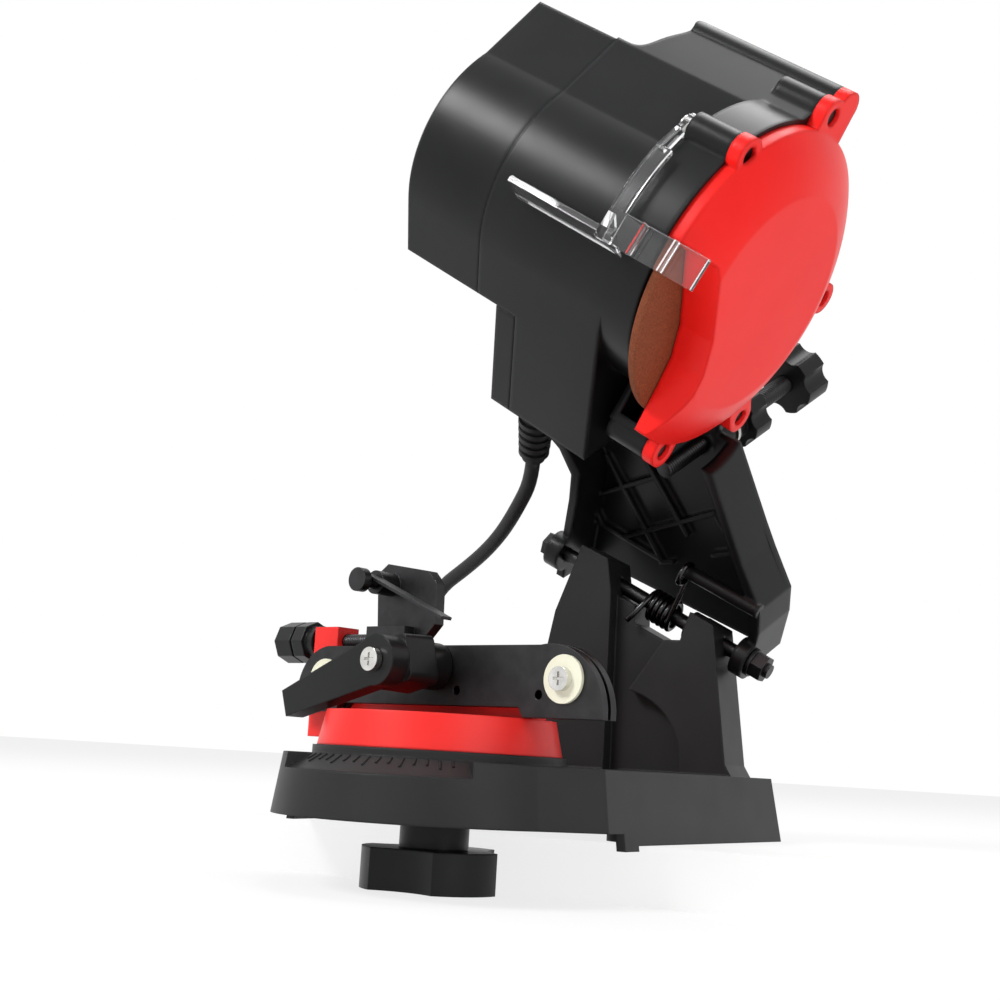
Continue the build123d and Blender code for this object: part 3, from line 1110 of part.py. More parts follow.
with BuildPart() as wheel_guard:
    with BuildSketch(HEAD_RADIAL):
        with BuildLine():
            shoulder = ThreePointArc((GUARD_R, GUARD_FROM + GUARD_RIM), (GUARD_MID_R, GUARD_MID),
                                     (GUARD_FLAT_R, GUARD_FACE))
            Polyline(shoulder @ 1, (0, GUARD_FACE), (0, GUARD_FROM), (GUARD_R, GUARD_FROM), shoulder @ 0)
        make_face()
    revolve(axis=HEAD_AXIS)
    with BuildSketch(head_plane(GUARD_FROM)):
        Polygon(*TIP, align=None)
        with Locations(CREST):
            Circle(CREST_R)
        for back, up in BOSSES:
            reach = math.hypot(back, up)
            turn = math.degrees(math.atan2(up, back))
            with Locations((back, up)):
                Circle(LOBE_R)
            with Locations((back * 0.93, up * 0.93)):
                Rectangle(reach * 0.14, 2 * LOBE_R, rotation=turn)
    extrude(amount=GUARD_RIM)
    with BuildSketch(head_plane(GUARD_FROM)):
        Polygon(*OPENING, align=None)
    extrude(amount=GUARD_DEEP, mode=Mode.SUBTRACT)
    add(guard_room.part, mode=Mode.SUBTRACT)
    for back, up in BOSSES:
        with BuildSketch(head_plane(GUARD_FROM)):
            with Locations((back, up)):
                Circle(GUARD_SCREW_R + RUN)
        extrude(amount=GUARD_RIM, mode=Mode.SUBTRACT)
        with BuildSketch(head_plane(GUARD_FROM + GUARD_RIM)):
            with Locations((back, up)):
                Circle(GUARD_SCREW_HEAD_R + DROP_IN)
        extrude(amount=1.5 - GUARD_RIM, mode=Mode.SUBTRACT)
wheel_guard.part.label = "wheel_guard"
export_step(wheel_guard.part, "parts/wheel_guard.step")

with BuildPart() as guard_screws:
    for back, up in BOSSES:
        with BuildSketch(head_plane(GUARD_FROM + 1.5)):
            with Locations((back, up)):
                Circle(GUARD_SCREW_HEAD_R)
        extrude(amount=GUARD_SCREW_HEAD_H)
        with BuildSketch(head_plane(GUARD_FROM + 1.5)):
            with Locations((back, up)):
                Circle(GUARD_SCREW_R - RUN)
        extrude(amount=-GUARD_SCREW_LEN)
guard_screws.part.label = "guard_screws"
export_step(guard_screws.part, "parts/guard_screws.step")

# ---- visor ------------------------------------------------------------------------------------
VISOR_FROM = CHAMBER_BACK - VISOR_GAP - VISOR_WALL
VISOR_TO = 22.0
SHELF_FROM = -66.0
BAND_IN = CHAMBER_R + 2.0
SHELF_IN = BODY_R + 1.1
BAND_OUT = BAND_IN + VISOR_WALL
PLATE_LOW = -13.5
PLATE_HIGH = -2.0
VISOR_EYE = BOSSES[1]
EYE_OUT_R = 4.6
with BuildPart() as visor:
    with BuildSketch(head_plane(SHELF_FROM)):
        Polygon((-SHELF_IN, -13.9), (-SHELF_IN - 11.0, -11.1), (-SHELF_IN - 10.4, -8.7),
                (0.2 - SHELF_IN, -11.4), align=None)
    extrude(amount=VISOR_FROM - SHELF_FROM)
    with BuildSketch(head_plane(VISOR_FROM)):
        Polygon((-SHELF_IN, -13.9), (-BAND_OUT, PLATE_LOW), (-BAND_OUT, PLATE_HIGH),
                (-SHELF_IN - 10.4, -8.7), align=None)
    extrude(amount=VISOR_WALL)
    with BuildSketch(head_plane(VISOR_FROM)):
        Circle(BAND_OUT)
        Circle(BAND_IN, mode=Mode.SUBTRACT)
        Polygon((0, 0), (-120.0, 44.0), (-120.0, -24.5), align=None, mode=Mode.INTERSECT)
    extrude(amount=VISOR_BAND_W)
    with BuildSketch(head_plane(VISOR_FROM)):
        with Locations(VISOR_EYE):
            Circle(EYE_OUT_R)
        Polygon((VISOR_EYE[0] - 3.2, VISOR_EYE[1] - 3.2), (-60.0, 21.5), (-64.6, 22.8), (-56.4, 38.0), align=None)
        with Locations(VISOR_EYE):
            Circle(VISOR_PIN_R + RUN, mode=Mode.SUBTRACT)
    extrude(amount=VISOR_WALL)
    with BuildSketch(head_plane(VISOR_FROM)):
        Polygon((-BAND_OUT, PLATE_LOW), (-BAND_OUT, PLATE_HIGH), (-BAND_IN, PLATE_HIGH), (-BAND_IN, PLATE_LOW),
                align=None)
    extrude(amount=VISOR_TO - VISOR_FROM)
    for rib_at in (-4.0, 9.0):
        with BuildSketch(head_plane(rib_at)):
            Polygon((-BAND_OUT - 2.2, PLATE_LOW), (-BAND_OUT - 2.2, PLATE_HIGH), (-BAND_OUT, PLATE_HIGH),
                    (-BAND_OUT, PLATE_LOW), align=None)
        extrude(amount=1.4)
visor.part.label = "visor"
export_step(visor.part, "parts/visor.step")

with BuildPart() as visor_pin:
    with BuildSketch(head_plane(CHAMBER_BACK + 2.8)):
        with Locations(VISOR_EYE):
            Circle(VISOR_PIN_R)
    extrude(amount=VISOR_FROM - CHAMBER_BACK - 2.8 - VISOR_GAP)
    with BuildSketch(head_plane(VISOR_FROM - LOOSE)):
        with Locations(VISOR_EYE):
            Circle(2 * VISOR_PIN_R)
    extrude(amount=-1.5)
    with BuildSketch(head_plane(CHAMBER_BACK)):
        with Locations(VISOR_EYE):
            Circle(2 * VISOR_PIN_R)
    extrude(amount=LOOSE - VISOR_GAP)
visor_pin.part.label = "visor_pin"
export_step(visor_pin.part, "parts/visor_pin.step")

# ---- wheel and its drive ----------------------------------------------------------------------
with BuildPart() as grinding_wheel:
    with BuildSketch(head_plane(-WHEEL_THICK / 2)):
        Circle(WHEEL_R)
        Circle(WHEEL_BORE_R, mode=Mode.SUBTRACT)
    extrude(amount=WHEEL_THICK)
    chamfer(grinding_wheel.edges().filter_by(GeomType.CIRCLE).sort_by(SortBy.RADIUS)[-2:], 0.5)
grinding_wheel.part.label = "grinding_wheel"
export_step(grinding_wheel.part, "parts/grinding_wheel.step")

with BuildPart() as inner_flange:
    with BuildSketch(head_plane(-WHEEL_THICK / 2 - FLANGE_H)):
        Circle(FLANGE_R)
    extrude(amount=FLANGE_H)
    with BuildSketch(head_plane(-WHEEL_THICK / 2)):
        Circle(WHEEL_BORE_R - RUN)
    extrude(amount=WHEEL_THICK - LOOSE)
    with BuildSketch(head_plane(-WHEEL_THICK / 2 - FLANGE_H)):
        Circle(SHAFT_R + RUN)
    extrude(amount=FLANGE_H + WHEEL_THICK, mode=Mode.SUBTRACT)
inner_flange.part.label = "inner_flange"
export_step(inner_flange.part, "parts/inner_flange.step")

with BuildPart() as outer_flange:
    with BuildSketch(head_plane(WHEEL_THICK / 2)):
        Circle(FLANGE_R)
        Circle(SHAFT_R + RUN, mode=Mode.SUBTRACT)
    extrude(amount=FLANGE_H)
outer_flange.part.label = "outer_flange"
export_step(outer_flange.part, "parts/outer_flange.step")

with BuildPart() as wheel_nut:
    with BuildSketch(head_plane(WHEEL_THICK / 2 + FLANGE_H)):
        RegularPolygon(hex_r(WHEEL_NUT_AF), 6)
        Circle(SHAFT_R + RUN, mode=Mode.SUBTRACT)
    extrude(amount=WHEEL_NUT_H)
wheel_nut.part.label = "wheel_nut"
export_step(wheel_nut.part, "parts/wheel_nut.step")

with BuildPart() as motor_shaft:
    with BuildSketch(head_plane(SHAFT_FROM)):
        Circle(SHAFT_R)
    extrude(amount=SHAFT_TO - SHAFT_FROM)
motor_shaft.part.label = "motor_shaft"
export_step(motor_shaft.part, "parts/motor_shaft.step")

with BuildPart() as front_bearing:
    with BuildSketch(head_plane(FRONT_BEARING_FROM)):
        Circle(BEARING_R)
        Circle(SHAFT_R + RUN, mode=Mode.SUBTRACT)
    extrude(amount=BEARING_W)
front_bearing.part.label = "front_bearing"
export_step(front_bearing.part, "parts/front_bearing.step")

with BuildPart() as rear_bearing:
    with BuildSketch(head_plane(REAR_BEARING_FROM)):
        Circle(BEARING_R)
        Circle(SHAFT_R + RUN, mode=Mode.SUBTRACT)
    extrude(amount=BEARING_W)
rear_bearing.part.label = "rear_bearing"
export_step(rear_bearing.part, "parts/rear_bearing.step")

ARMATURE_SLOTS = 12
with BuildPart() as armature:
    with BuildSketch(head_plane(ARMATURE_FROM)):
        Circle(ARMATURE_R)
        with PolarLocations(ARMATURE_R, ARMATURE_SLOTS):
            Rectangle(10, 2.2, mode=Mode.SUBTRACT)
        Circle(SHAFT_R + RUN, mode=Mode.SUBTRACT)
    extrude(amount=ARMATURE_TO - ARMATURE_FROM)
armature.part.label = "armature"
export_step(armature.part, "parts/armature.step")

with BuildPart() as commutator:
    with BuildSketch(head_plane(COMMUTATOR_FROM)):
        Circle(COMMUTATOR_R)
        Circle(SHAFT_R + RUN, mode=Mode.SUBTRACT)
    extrude(amount=COMMUTATOR_TO - COMMUTATOR_FROM)
commutator.part.label = "commutator"
export_step(commutator.part, "parts/commutator.step")

STATOR_OUT_R = CAP_SCREW_AT - CAP_BOSS_R - DROP_IN
with BuildPart() as stator:
    with BuildSketch(head_plane(STATOR_FROM)):
        Circle(STATOR_OUT_R)
        Circle(ARMATURE_R + 2 * LOOSE, mode=Mode.SUBTRACT)
    extrude(amount=STATOR_TO - STATOR_FROM)
stator.part.label = "stator"
export_step(stator.part, "parts/stator.step")

FAN_HUB_R = 9.0
FAN_BLADES = 10
with BuildPart() as fan:
    with BuildSketch(head_plane(FAN_FROM)):
        Circle(FAN_R)
        Circle(SHAFT_R + RUN, mode=Mode.SUBTRACT)
    extrude(amount=1.6)
    with BuildSketch(head_plane(FAN_FROM)):
        with PolarLocations((FAN_R + FAN_HUB_R) / 2, FAN_BLADES):
            Rectangle(FAN_R - FAN_HUB_R - 1, 1.4, rotation=25)
        Circle(FAN_HUB_R)
        Circle(SHAFT_R + RUN, mode=Mode.SUBTRACT)
    extrude(amount=FAN_TO - FAN_FROM)
fan.part.label = "fan"
export_step(fan.part, "parts/fan.step")

BRUSH_AT = (COMMUTATOR_FROM + COMMUTATOR_TO) / 2
BRUSH_END = 26.0
HOLDER_WALL = 1.2
with BuildPart() as brushes:
    for side in (-1, 1):
        with BuildSketch(head_plane(BRUSH_AT - BRUSH / 2)):
            with Locations((side * (COMMUTATOR_R + LOOSE + BRUSH_END) / 2, 0)):
                Rectangle(BRUSH_END - COMMUTATOR_R - LOOSE, BRUSH)
        extrude(amount=BRUSH)
brushes.part.label = "brushes"
export_step(brushes.part, "parts/brushes.step")

with BuildPart() as brush_holders:
    for side in (-1, 1):
        with BuildSketch(head_plane(BRUSH_AT - BRUSH / 2 - HOLDER_WALL)):
            with Locations((side * (BRUSH_END - 8 + BODY_R - CASE_WALL - LOOSE) / 2, 0)):
                Rectangle(BODY_R - CASE_WALL - LOOSE - BRUSH_END + 8, BRUSH + 2 * HOLDER_WALL)
        extrude(amount=BRUSH + 2 * HOLDER_WALL)
        with BuildSketch(head_plane(BRUSH_AT - BRUSH / 2 - DROP_IN)):
            with Locations((side * (BRUSH_END - 8) + side * 6, 0)):
                Rectangle(14, BRUSH + 2 * DROP_IN)
        extrude(amount=BRUSH + 2 * DROP_IN, mode=Mode.SUBTRACT)
brush_holders.part.label = "brush_holders"
export_step(brush_holders.part, "parts/brush_holders.step")

# ---- pivot pin, nut, washer, spring -----------------------------------------------------------
with BuildPart() as pivot_pin:
    with BuildSketch(pin_plane(ARM_LEFT - LOOSE)):
        RegularPolygon(PIN_HEAD_R, 6)
    extrude(amount=-PIN_HEAD_H)
    with BuildSketch(pin_plane(ARM_LEFT - LOOSE)):
        Circle(PIN_R)
    extrude(amount=ARM_RIGHT - ARM_LEFT + 3 * LOOSE + WASHER_H + PIN_NUT_H + 1.5)
pivot_pin.part.label = "pivot_pin"
export_step(pivot_pin.part, "parts/pivot_pin.step")

with BuildPart() as pivot_washer:
    with BuildSketch(pin_plane(ARM_RIGHT + LOOSE)):
        Circle(WASHER_R)
        Circle(PIN_R + RUN, mode=Mode.SUBTRACT)
    extrude(amount=WASHER_H)
pivot_washer.part.label = "pivot_washer"
export_step(pivot_washer.part, "parts/pivot_washer.step")

with BuildPart() as pivot_nut:
    with BuildSketch(pin_plane(ARM_RIGHT + LOOSE + WASHER_H)):
        RegularPolygon(hex_r(PIN_NUT_AF), 6)
        Circle(PIN_R + RUN, mode=Mode.SUBTRACT)
    extrude(amount=PIN_NUT_H)
pivot_nut.part.label = "pivot_nut"
export_step(pivot_nut.part, "parts/pivot_nut.step")

peg_away = math.hypot(*PEG)
hook_turn = math.degrees(math.atan2(PEG[1], PEG[0]) - math.asin((SPRING_R + HOOK_R) / peg_away))
hook_long = math.sqrt(peg_away ** 2 - (SPRING_R + HOOK_R) ** 2)
coil_path = Helix(SPRING_PITCH, SPRING_PITCH * SPRING_TURNS, SPRING_R, lefthand=True)
coil_turn = Location((0, 0, 0), (0, 0, 90 + hook_turn + 360 * SPRING_TURNS))
spring_wire = (pin_plane(SPRING_FROM).location * coil_turn * coil_path)
leg_start = spring_wire @ 0
hook_start = spring_wire @ 1
hook_dir = spring_wire % 1
hook_side = PIN_DIR.cross(hook_dir).normalized()
hook_end = hook_start + hook_dir * hook_long


def ring_point(degrees):
    """Point of the ring round the peg, measured from where the straight wire runs into it."""
    a = math.radians(degrees)
    return hook_end + hook_side * HOOK_R * (1 - math.cos(a)) + hook_dir * HOOK_R * math.sin(a)


with BuildPart() as torsion_spring:
    with BuildLine():
        add(spring_wire)
        Line(leg_start - (spring_wire % 0) * SPRING_LEG, leg_start)
        Line(hook_start, hook_end)
        ThreePointArc(hook_end, ring_point(RING_TURN / 2), ring_point(RING_TURN))
    with BuildSketch(Plane(origin=leg_start - (spring_wire % 0) * SPRING_LEG, z_dir=spring_wire % 0)):
        Circle(WIRE_R)
    sweep(is_frenet=True)
torsion_spring.part.label = "torsion_spring"
export_step(torsion_spring.part, "parts/torsion_spring.step")

# ---- depth screw ------------------------------------------------------------------------------
with BuildPart() as depth_screw:
    with BuildSketch(depth_plane(-DEPTH_KNOB_H / 2 + 3)):
        Circle(DEPTH_R)
    extrude(amount=DEPTH_LEN + DEPTH_KNOB_H / 2 - 3)
depth_screw.part.label = "depth_screw"
export_step(depth_screw.part, "parts/depth_screw.step")

LOBES = 6
with BuildPart() as depth_knob:
    with BuildSketch(depth_plane(-DEPTH_KNOB_H / 2)):
        Circle(DEPTH_KNOB_R)
        with PolarLocations(DEPTH_KNOB_R * 1.25, LOBES):
            Circle(DEPTH_KNOB_R * 0.42, mode=Mode.SUBTRACT)
    extrude(amount=DEPTH_KNOB_H)
    with BuildSketch(depth_plane(-DEPTH_KNOB_H / 2 + 3)):
        Circle(DEPTH_R + RUN)
    extrude(amount=DEPTH_KNOB_H, mode=Mode.SUBTRACT)
depth_knob.part.label = "depth_knob"
export_step(depth_knob.part, "parts/depth_knob.step")

with BuildPart() as depth_lock_nut:
    with BuildSketch(depth_plane(DEPTH_NUT_AT - DEPTH_NUT_H / 2)):
        Circle(DEPTH_NUT_R)
        with PolarLocations(DEPTH_NUT_R * 1.25, LOBES):
            Circle(DEPTH_NUT_R * 0.42, mode=Mode.SUBTRACT)
    extrude(amount=DEPTH_NUT_H)
    with BuildSketch(depth_plane(DEPTH_NUT_AT)):
        Circle(DEPTH_NUT_R * 0.62)
    extrude(amount=DEPTH_NUT_H)
    with BuildSketch(depth_plane(DEPTH_NUT_AT - DEPTH_NUT_H)):
        Circle(DEPTH_R + RUN)
    extrude(amount=3 * DEPTH_NUT_H, mode=Mode.SUBTRACT)
depth_lock_nut.part.label = "depth_lock_nut"
export_step(depth_lock_nut.part, "parts/depth_lock_nut.step")

with BuildPart() as depth_washer:
    with BuildSketch(depth_plane(DEPTH_BOSS_FROM)):
        Circle(DEPTH_WASHER_R)
        Circle(DEPTH_R + RUN, mode=Mode.SUBTRACT)
    extrude(amount=-DEPTH_WASHER_H)
depth_washer.part.label = "depth_washer"
export_step(depth_washer.part, "parts/depth_washer.step")

# ---- cord, its gland, coil and plug -----------------------------------------------------------
GLAND_RIBS = 5
with BuildPart() as cord_gland:
    with BuildSketch(gland_plane(0)):
        Circle(GLAND_R)
    with BuildSketch(gland_plane(GLAND_LEN)):
        Circle(GLAND_TIP_R)
    loft()
    for rib in range(GLAND_RIBS):
        with BuildSketch(gland_plane(5 + rib * 4)):
            Circle(GLAND_R + 0.9 - rib * 0.25)
        extrude(amount=2)
    with BuildSketch(gland_plane(-BOX_WALL - 1)):
        Circle(CORD_R)
    extrude(amount=BOX_WALL + 1)
cord_gland.part.label = "cord_gland"
export_step(cord_gland.part, "parts/cord_gland.step")

GLAND_TIP = GLAND_FOOT + GLAND_DIR * GLAND_LEN
# the cord's route after the gland, with depths measured from the vise's axis
ROUTE = (
    (-24.5, 97.0, 131.0),
    (-35.0, 105.0, 122.0),
    (-46.5, 112.0, 114.5),
    (-60.0, 118.5, 107.5),
    (-75.0, 124.0, 100.0),
    (-86.0, 130.0, 86.0),
    (-91.0, 137.0, 66.0),
    (-92.0, 148.0, 45.0),
    (-92.0, 165.0, 26.0),
    (-90.0, 185.0, 12.0),
    (-86.0, 203.0, 4.5),
    (-78.0, 217.0, 3.4),
    (-65.0, 223.5, 3.4),
    (-50.9, 224.5, 3.4),
)
cord_points = [GLAND_TIP, GLAND_TIP + GLAND_DIR * 13.0]
cord_points += [Vector(x, y + VISE_Y, z) for x, y, z in ROUTE]
cord_radii = []
for before, here, after in zip(cord_points, cord_points[1:], cord_points[2:]):
    turn = math.radians((here - before).get_angle(after - here))
    shorter = min((here - before).length, (after - here).length)
    cord_radii.append(0.45 * shorter / math.tan(turn / 2))
with BuildPart() as power_cord:
    with BuildLine():
        cord_line = FilletPolyline(*cord_points, radius=cord_radii)
    with BuildSketch(gland_plane(GLAND_LEN)):
        Circle(CORD_R)
    sweep()
power_cord.part.label = "power_cord"
export_step(power_cord.part, "parts/power_cord.step")

COIL_X = -20.0
COIL_Y = 190.0
COIL_R = 34.0
COIL_W = 18.6
COIL_H = 12.4
with BuildPart() as cord_coil:
    with BuildSketch(Plane(origin=(0, VISE_Y, 0.2))):
        with Locations((COIL_X, COIL_Y)):
            Circle(COIL_R + COIL_W / 2)
            Circle(COIL_R - COIL_W / 2, mode=Mode.SUBTRACT)
    extrude(amount=COIL_H)
    fillet(cord_coil.edges().filter_by(GeomType.CIRCLE), CORD_R * 0.9)
cord_coil.part.label = "cord_coil"
export_step(cord_coil.part, "parts/cord_coil.step")

PLUG_LONG = 34.0
PLUG_WIDE = 26.0
PLUG_HIGH = 14.0
PLUG_TAIL = 12.0
PLUG_PIN_R = 2.0
PLUG_PIN_LONG = 19.0
PLUG_PIN_SPACING = 19.0
PLUG_TAIL_R = CORD_R + 1
PLUG_X = -32.0
PLUG_Y = COIL_Y + VISE_Y + 26.0
PLUG_Z = COIL_H + PLUG_HIGH / 2 + 0.4


def plug_plane(along):
    """Square to the plug, which lies across the coil with its pins to the right."""
    return Plane(origin=(PLUG_X + along, PLUG_Y, PLUG_Z), x_dir=(0, 1, 0), z_dir=(1, 0, 0))


with BuildPart() as plug:
    with BuildSketch(plug_plane(0)):
        Circle(PLUG_TAIL_R)
    extrude(amount=PLUG_TAIL)
    with BuildSketch(plug_plane(PLUG_TAIL)):
        RectangleRounded(PLUG_WIDE * 0.6, PLUG_HIGH * 0.8, 3.0)
    with BuildSketch(plug_plane(PLUG_TAIL + PLUG_LONG)):
        RectangleRounded(PLUG_WIDE + 6, PLUG_HIGH, 3.0)
    loft()
plug.part.label = "plug"
export_step(plug.part, "parts/plug.step")

with BuildPart() as plug_pins:
    with BuildSketch(plug_plane(PLUG_TAIL + PLUG_LONG)):
        with Locations((-PLUG_PIN_SPACING / 2, 0), (PLUG_PIN_SPACING / 2, 0)):
            Circle(PLUG_PIN_R)
    extrude(amount=PLUG_PIN_LONG)
plug_pins.part.label = "plug_pins"
export_step(plug_pins.part, "parts/plug_pins.step")
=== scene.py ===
import json
import math

import bmesh
import bpy
from mathutils import Matrix, Vector


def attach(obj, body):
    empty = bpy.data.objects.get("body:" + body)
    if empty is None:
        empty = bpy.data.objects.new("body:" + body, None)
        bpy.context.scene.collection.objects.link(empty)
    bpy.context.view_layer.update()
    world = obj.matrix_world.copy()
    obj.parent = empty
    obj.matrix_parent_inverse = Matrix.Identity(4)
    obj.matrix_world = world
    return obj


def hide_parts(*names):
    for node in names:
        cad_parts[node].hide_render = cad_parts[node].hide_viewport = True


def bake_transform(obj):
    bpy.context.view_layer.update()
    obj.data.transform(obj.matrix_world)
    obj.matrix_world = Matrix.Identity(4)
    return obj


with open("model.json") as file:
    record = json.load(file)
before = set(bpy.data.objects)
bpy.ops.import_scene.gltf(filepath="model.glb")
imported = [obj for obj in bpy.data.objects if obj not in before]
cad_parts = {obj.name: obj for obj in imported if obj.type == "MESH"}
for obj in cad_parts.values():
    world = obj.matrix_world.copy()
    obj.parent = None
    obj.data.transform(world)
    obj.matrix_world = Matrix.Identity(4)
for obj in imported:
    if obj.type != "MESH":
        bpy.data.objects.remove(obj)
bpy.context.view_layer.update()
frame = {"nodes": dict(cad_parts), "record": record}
MM = 0.001
nodes = frame["nodes"]
scene = bpy.context.scene
scene.view_settings.view_transform = "Standard"

# ---- camera -----------------------------------------------------------------------------------
CAM_AT = Vector((271.5, -522.7, 25.5)) * MM
CAM_TURN = math.radians(27.82)
CAM_UP = math.radians(9.42)
CAM_ROLL = math.radians(3.36)
CAM_LENS = 56.46     # on a sensor 36 mm wide
right = Vector((math.cos(CAM_TURN), math.sin(CAM_TURN), 0))
toward = Vector((math.sin(CAM_TURN), -math.cos(CAM_TURN), 0))
level = Matrix((right, Vector((0, 0, 1)), toward))
rows = Matrix.Rotation(-CAM_ROLL, 3, "Z") @ Matrix.Rotation(-CAM_UP, 3, "X") @ level
camera_data = bpy.data.cameras.new("camera")
camera_data.lens = CAM_LENS
camera_data.sensor_width = 36.0
camera_data.clip_start = 0.01
camera = bpy.data.objects.new("camera", camera_data)
camera.matrix_world = Matrix.Translation(CAM_AT) @ rows.transposed().to_4x4()
scene.collection.objects.link(camera)
scene.camera = camera


# ---- node helpers -----------------------------------------------------------------------------
class Nodes:
    """One material and short calls that add nodes to it."""

    def __init__(self, name):
        self.mat = bpy.data.materials.new(name)
        self.mat.use_nodes = True
        self.tree = self.mat.node_tree
        self.tree.nodes.clear()
        self.out = self.add("ShaderNodeOutputMaterial")
        self.place = self.add("ShaderNodeTexCoord").outputs["Object"]

    def add(self, kind, **given):
        node = self.tree.nodes.new(kind)
        for key, value in given.items():
            setattr(node, key, value)
        return node

    def feed(self, socket, value):
        if hasattr(value, "is_output"):
            self.tree.links.new(value, socket)
        else:
            socket.default_value = value

    def noise(self, scale, detail=2.0, rough=0.5, stretch=None):
        node = self.add("ShaderNodeTexNoise")
        where = self.place
        if stretch:
            mapping = self.add("ShaderNodeMapping")
            self.feed(mapping.inputs["Vector"], self.place)
            mapping.inputs["Scale"].default_value = stretch
            where = mapping.outputs["Vector"]
        self.feed(node.inputs["Vector"], where)
        node.inputs["Scale"].default_value = scale
        node.inputs["Detail"].default_value = detail
        node.inputs["Roughness"].default_value = rough
        return node.outputs["Fac"]

    def cells(self, scale):
        node = self.add("ShaderNodeTexVoronoi")
        self.feed(node.inputs["Vector"], self.place)
        node.inputs["Scale"].default_value = scale
        return node.outputs["Color"]

    def ramp(self, fac, stops):
        node = self.add("ShaderNodeValToRGB")
        self.feed(node.inputs["Fac"], fac)
        while len(node.color_ramp.elements) < len(stops):
            node.color_ramp.elements.new(0.5)
        for element, (at, colour) in zip(node.color_ramp.elements, stops):
            element.position = at
            if isinstance(colour, (int, float)):
                colour = (colour, colour, colour)
            element.color = (*colour, 1)
        return node.outputs["Color"]

    def range(self, value, low, high, from_low=0.0, from_high=1.0):
        node = self.add("ShaderNodeMapRange")
        self.feed(node.inputs["Value"], value)
        ends = {"From Min": from_low, "From Max": from_high, "To Min": low, "To Max": high}
        for key, number in ends.items():
            node.inputs[key].default_value = number
        return node.outputs["Result"]

    def bevel(self, radius):
        node = self.add("ShaderNodeBevel", samples=4)
        node.inputs["Radius"].default_value = radius
        return node.outputs["Normal"]

    def bump(self, height, strength, distance, normal=None):
        node = self.add("ShaderNodeBump")
        self.feed(node.inputs["Height"], height)
        node.inputs["Strength"].default_value = strength
        node.inputs["Distance"].default_value = distance
        if normal is not None:
            self.feed(node.inputs["Normal"], normal)
        return node.outputs["Normal"]

    def surface(self, **sockets):
        shader = self.add("ShaderNodeBsdfPrincipled")
        for key, value in sockets.items():
            self.feed(shader.inputs[key.replace("_", " ")], value)
        self.feed(self.out.inputs["Surface"], shader.outputs["BSDF"])
        return self.mat


GRAIN_HEIGHT = 0.00006


def moulded(name, dark, pale, rough, edge=0.0006, grain=2600, depth=0.25, shine=0.5):
    """Moulded plastic: soft mottling, a fine grain and worn-soft edges."""
    n = Nodes(name)
    mottle = n.noise(22, 3)
    colour = n.ramp(mottle, ((0.3, dark), (0.72, pale)))
    gloss = n.range(n.noise(60, 4), rough - 0.05, rough + 0.06)
    rounded = n.bevel(edge)
    swell = n.bump(n.noise(34, 2), 0.12, 0.0006, rounded)
    fine = n.bump(n.noise(grain, 1), depth, GRAIN_HEIGHT, swell)
    return n.surface(Base_Color=colour, Roughness=gloss, Specular_IOR_Level=shine, Normal=fine)


def metal(name, colour, rough, edge=0.0002, streak_scale=900):
    """Metal: patchy tone, a roughness that changes from spot to spot and a fine relief."""
    n = Nodes(name)
    dull = tuple(c * 0.78 for c in colour)
    tone = n.ramp(n.noise(180, 4), ((0.3, dull), (0.65, colour)))
    gloss = n.range(n.noise(streak_scale, 3), rough - 0.07, rough + 0.1)
    skin = n.bump(n.noise(streak_scale, 2), 0.12, 0.00004, n.bevel(edge))
    return n.surface(Base_Color=tone, Metallic=1.0, Roughness=gloss, Normal=skin)


def abrasive():
    """Vitrified grit: packed grains, painted shade in pits and a few pale crystals."""
    n = Nodes("abrasive")
    grit = ((0.0, (0.15, 0.034, 0.011)), (0.5, (0.205, 0.05, 0.016)), (1.0, (0.26, 0.072, 0.026)))
    tone = n.ramp(n.cells(2400), grit)
    # painted shade: darker noise spots stand for the shade in the grit's pits and are multiplied into the
    # grain colour
    pit_shade = n.ramp(n.noise(1600, 4, 0.7), ((0.36, 0.6), (0.5, 1.0)))
    mixed = n.add("ShaderNodeMix", data_type="RGBA", blend_type="MULTIPLY")
    mixed.inputs["Factor"].default_value = 0.7
    n.feed(mixed.inputs["A"], tone)
    n.feed(mixed.inputs["B"], pit_shade)
    rough = n.bump(n.noise(2300, 5, 0.8), 0.5, 0.00012, n.bevel(0.0004))
    return n.surface(Base_Color=mixed.outputs["Result"], Roughness=n.range(n.noise(700), 0.62, 0.85),
                     Specular_IOR_Level=0.3, Normal=rough)


def clear():
    """Clear plastic with light scuffs."""
    n = Nodes("clear_visor")
    scuffs = n.noise(420, 4, 0.7, (1, 1, 6))
    return n.surface(
        Base_Color=n.ramp(n.noise(30), ((0.3, (0.95, 0.96, 0.97)), (0.7, (0.99, 0.99, 1.0)))),
        Transmission_Weight=1.0, IOR=1.49, Roughness=n.range(scuffs, 0.02, 0.09, 0.45, 0.8),
        Normal=n.bump(n.noise(60), 0.1, 0.0004, n.bevel(0.0003)))


def rubber(name, tone):
    """Dull rubber with a fine skin."""
    n = Nodes(name)
    colour = n.ramp(n.noise(160, 3), ((0.3, tuple(c * 0.75 for c in tone)), (0.7, tone)))
    skin = n.bump(n.noise(1500, 2), 0.3, 0.00005)
    return n.surface(Base_Color=colour, Roughness=n.range(n.noise(240), 0.46, 0.6), Specular_IOR_Level=0.35,
                     Normal=skin)


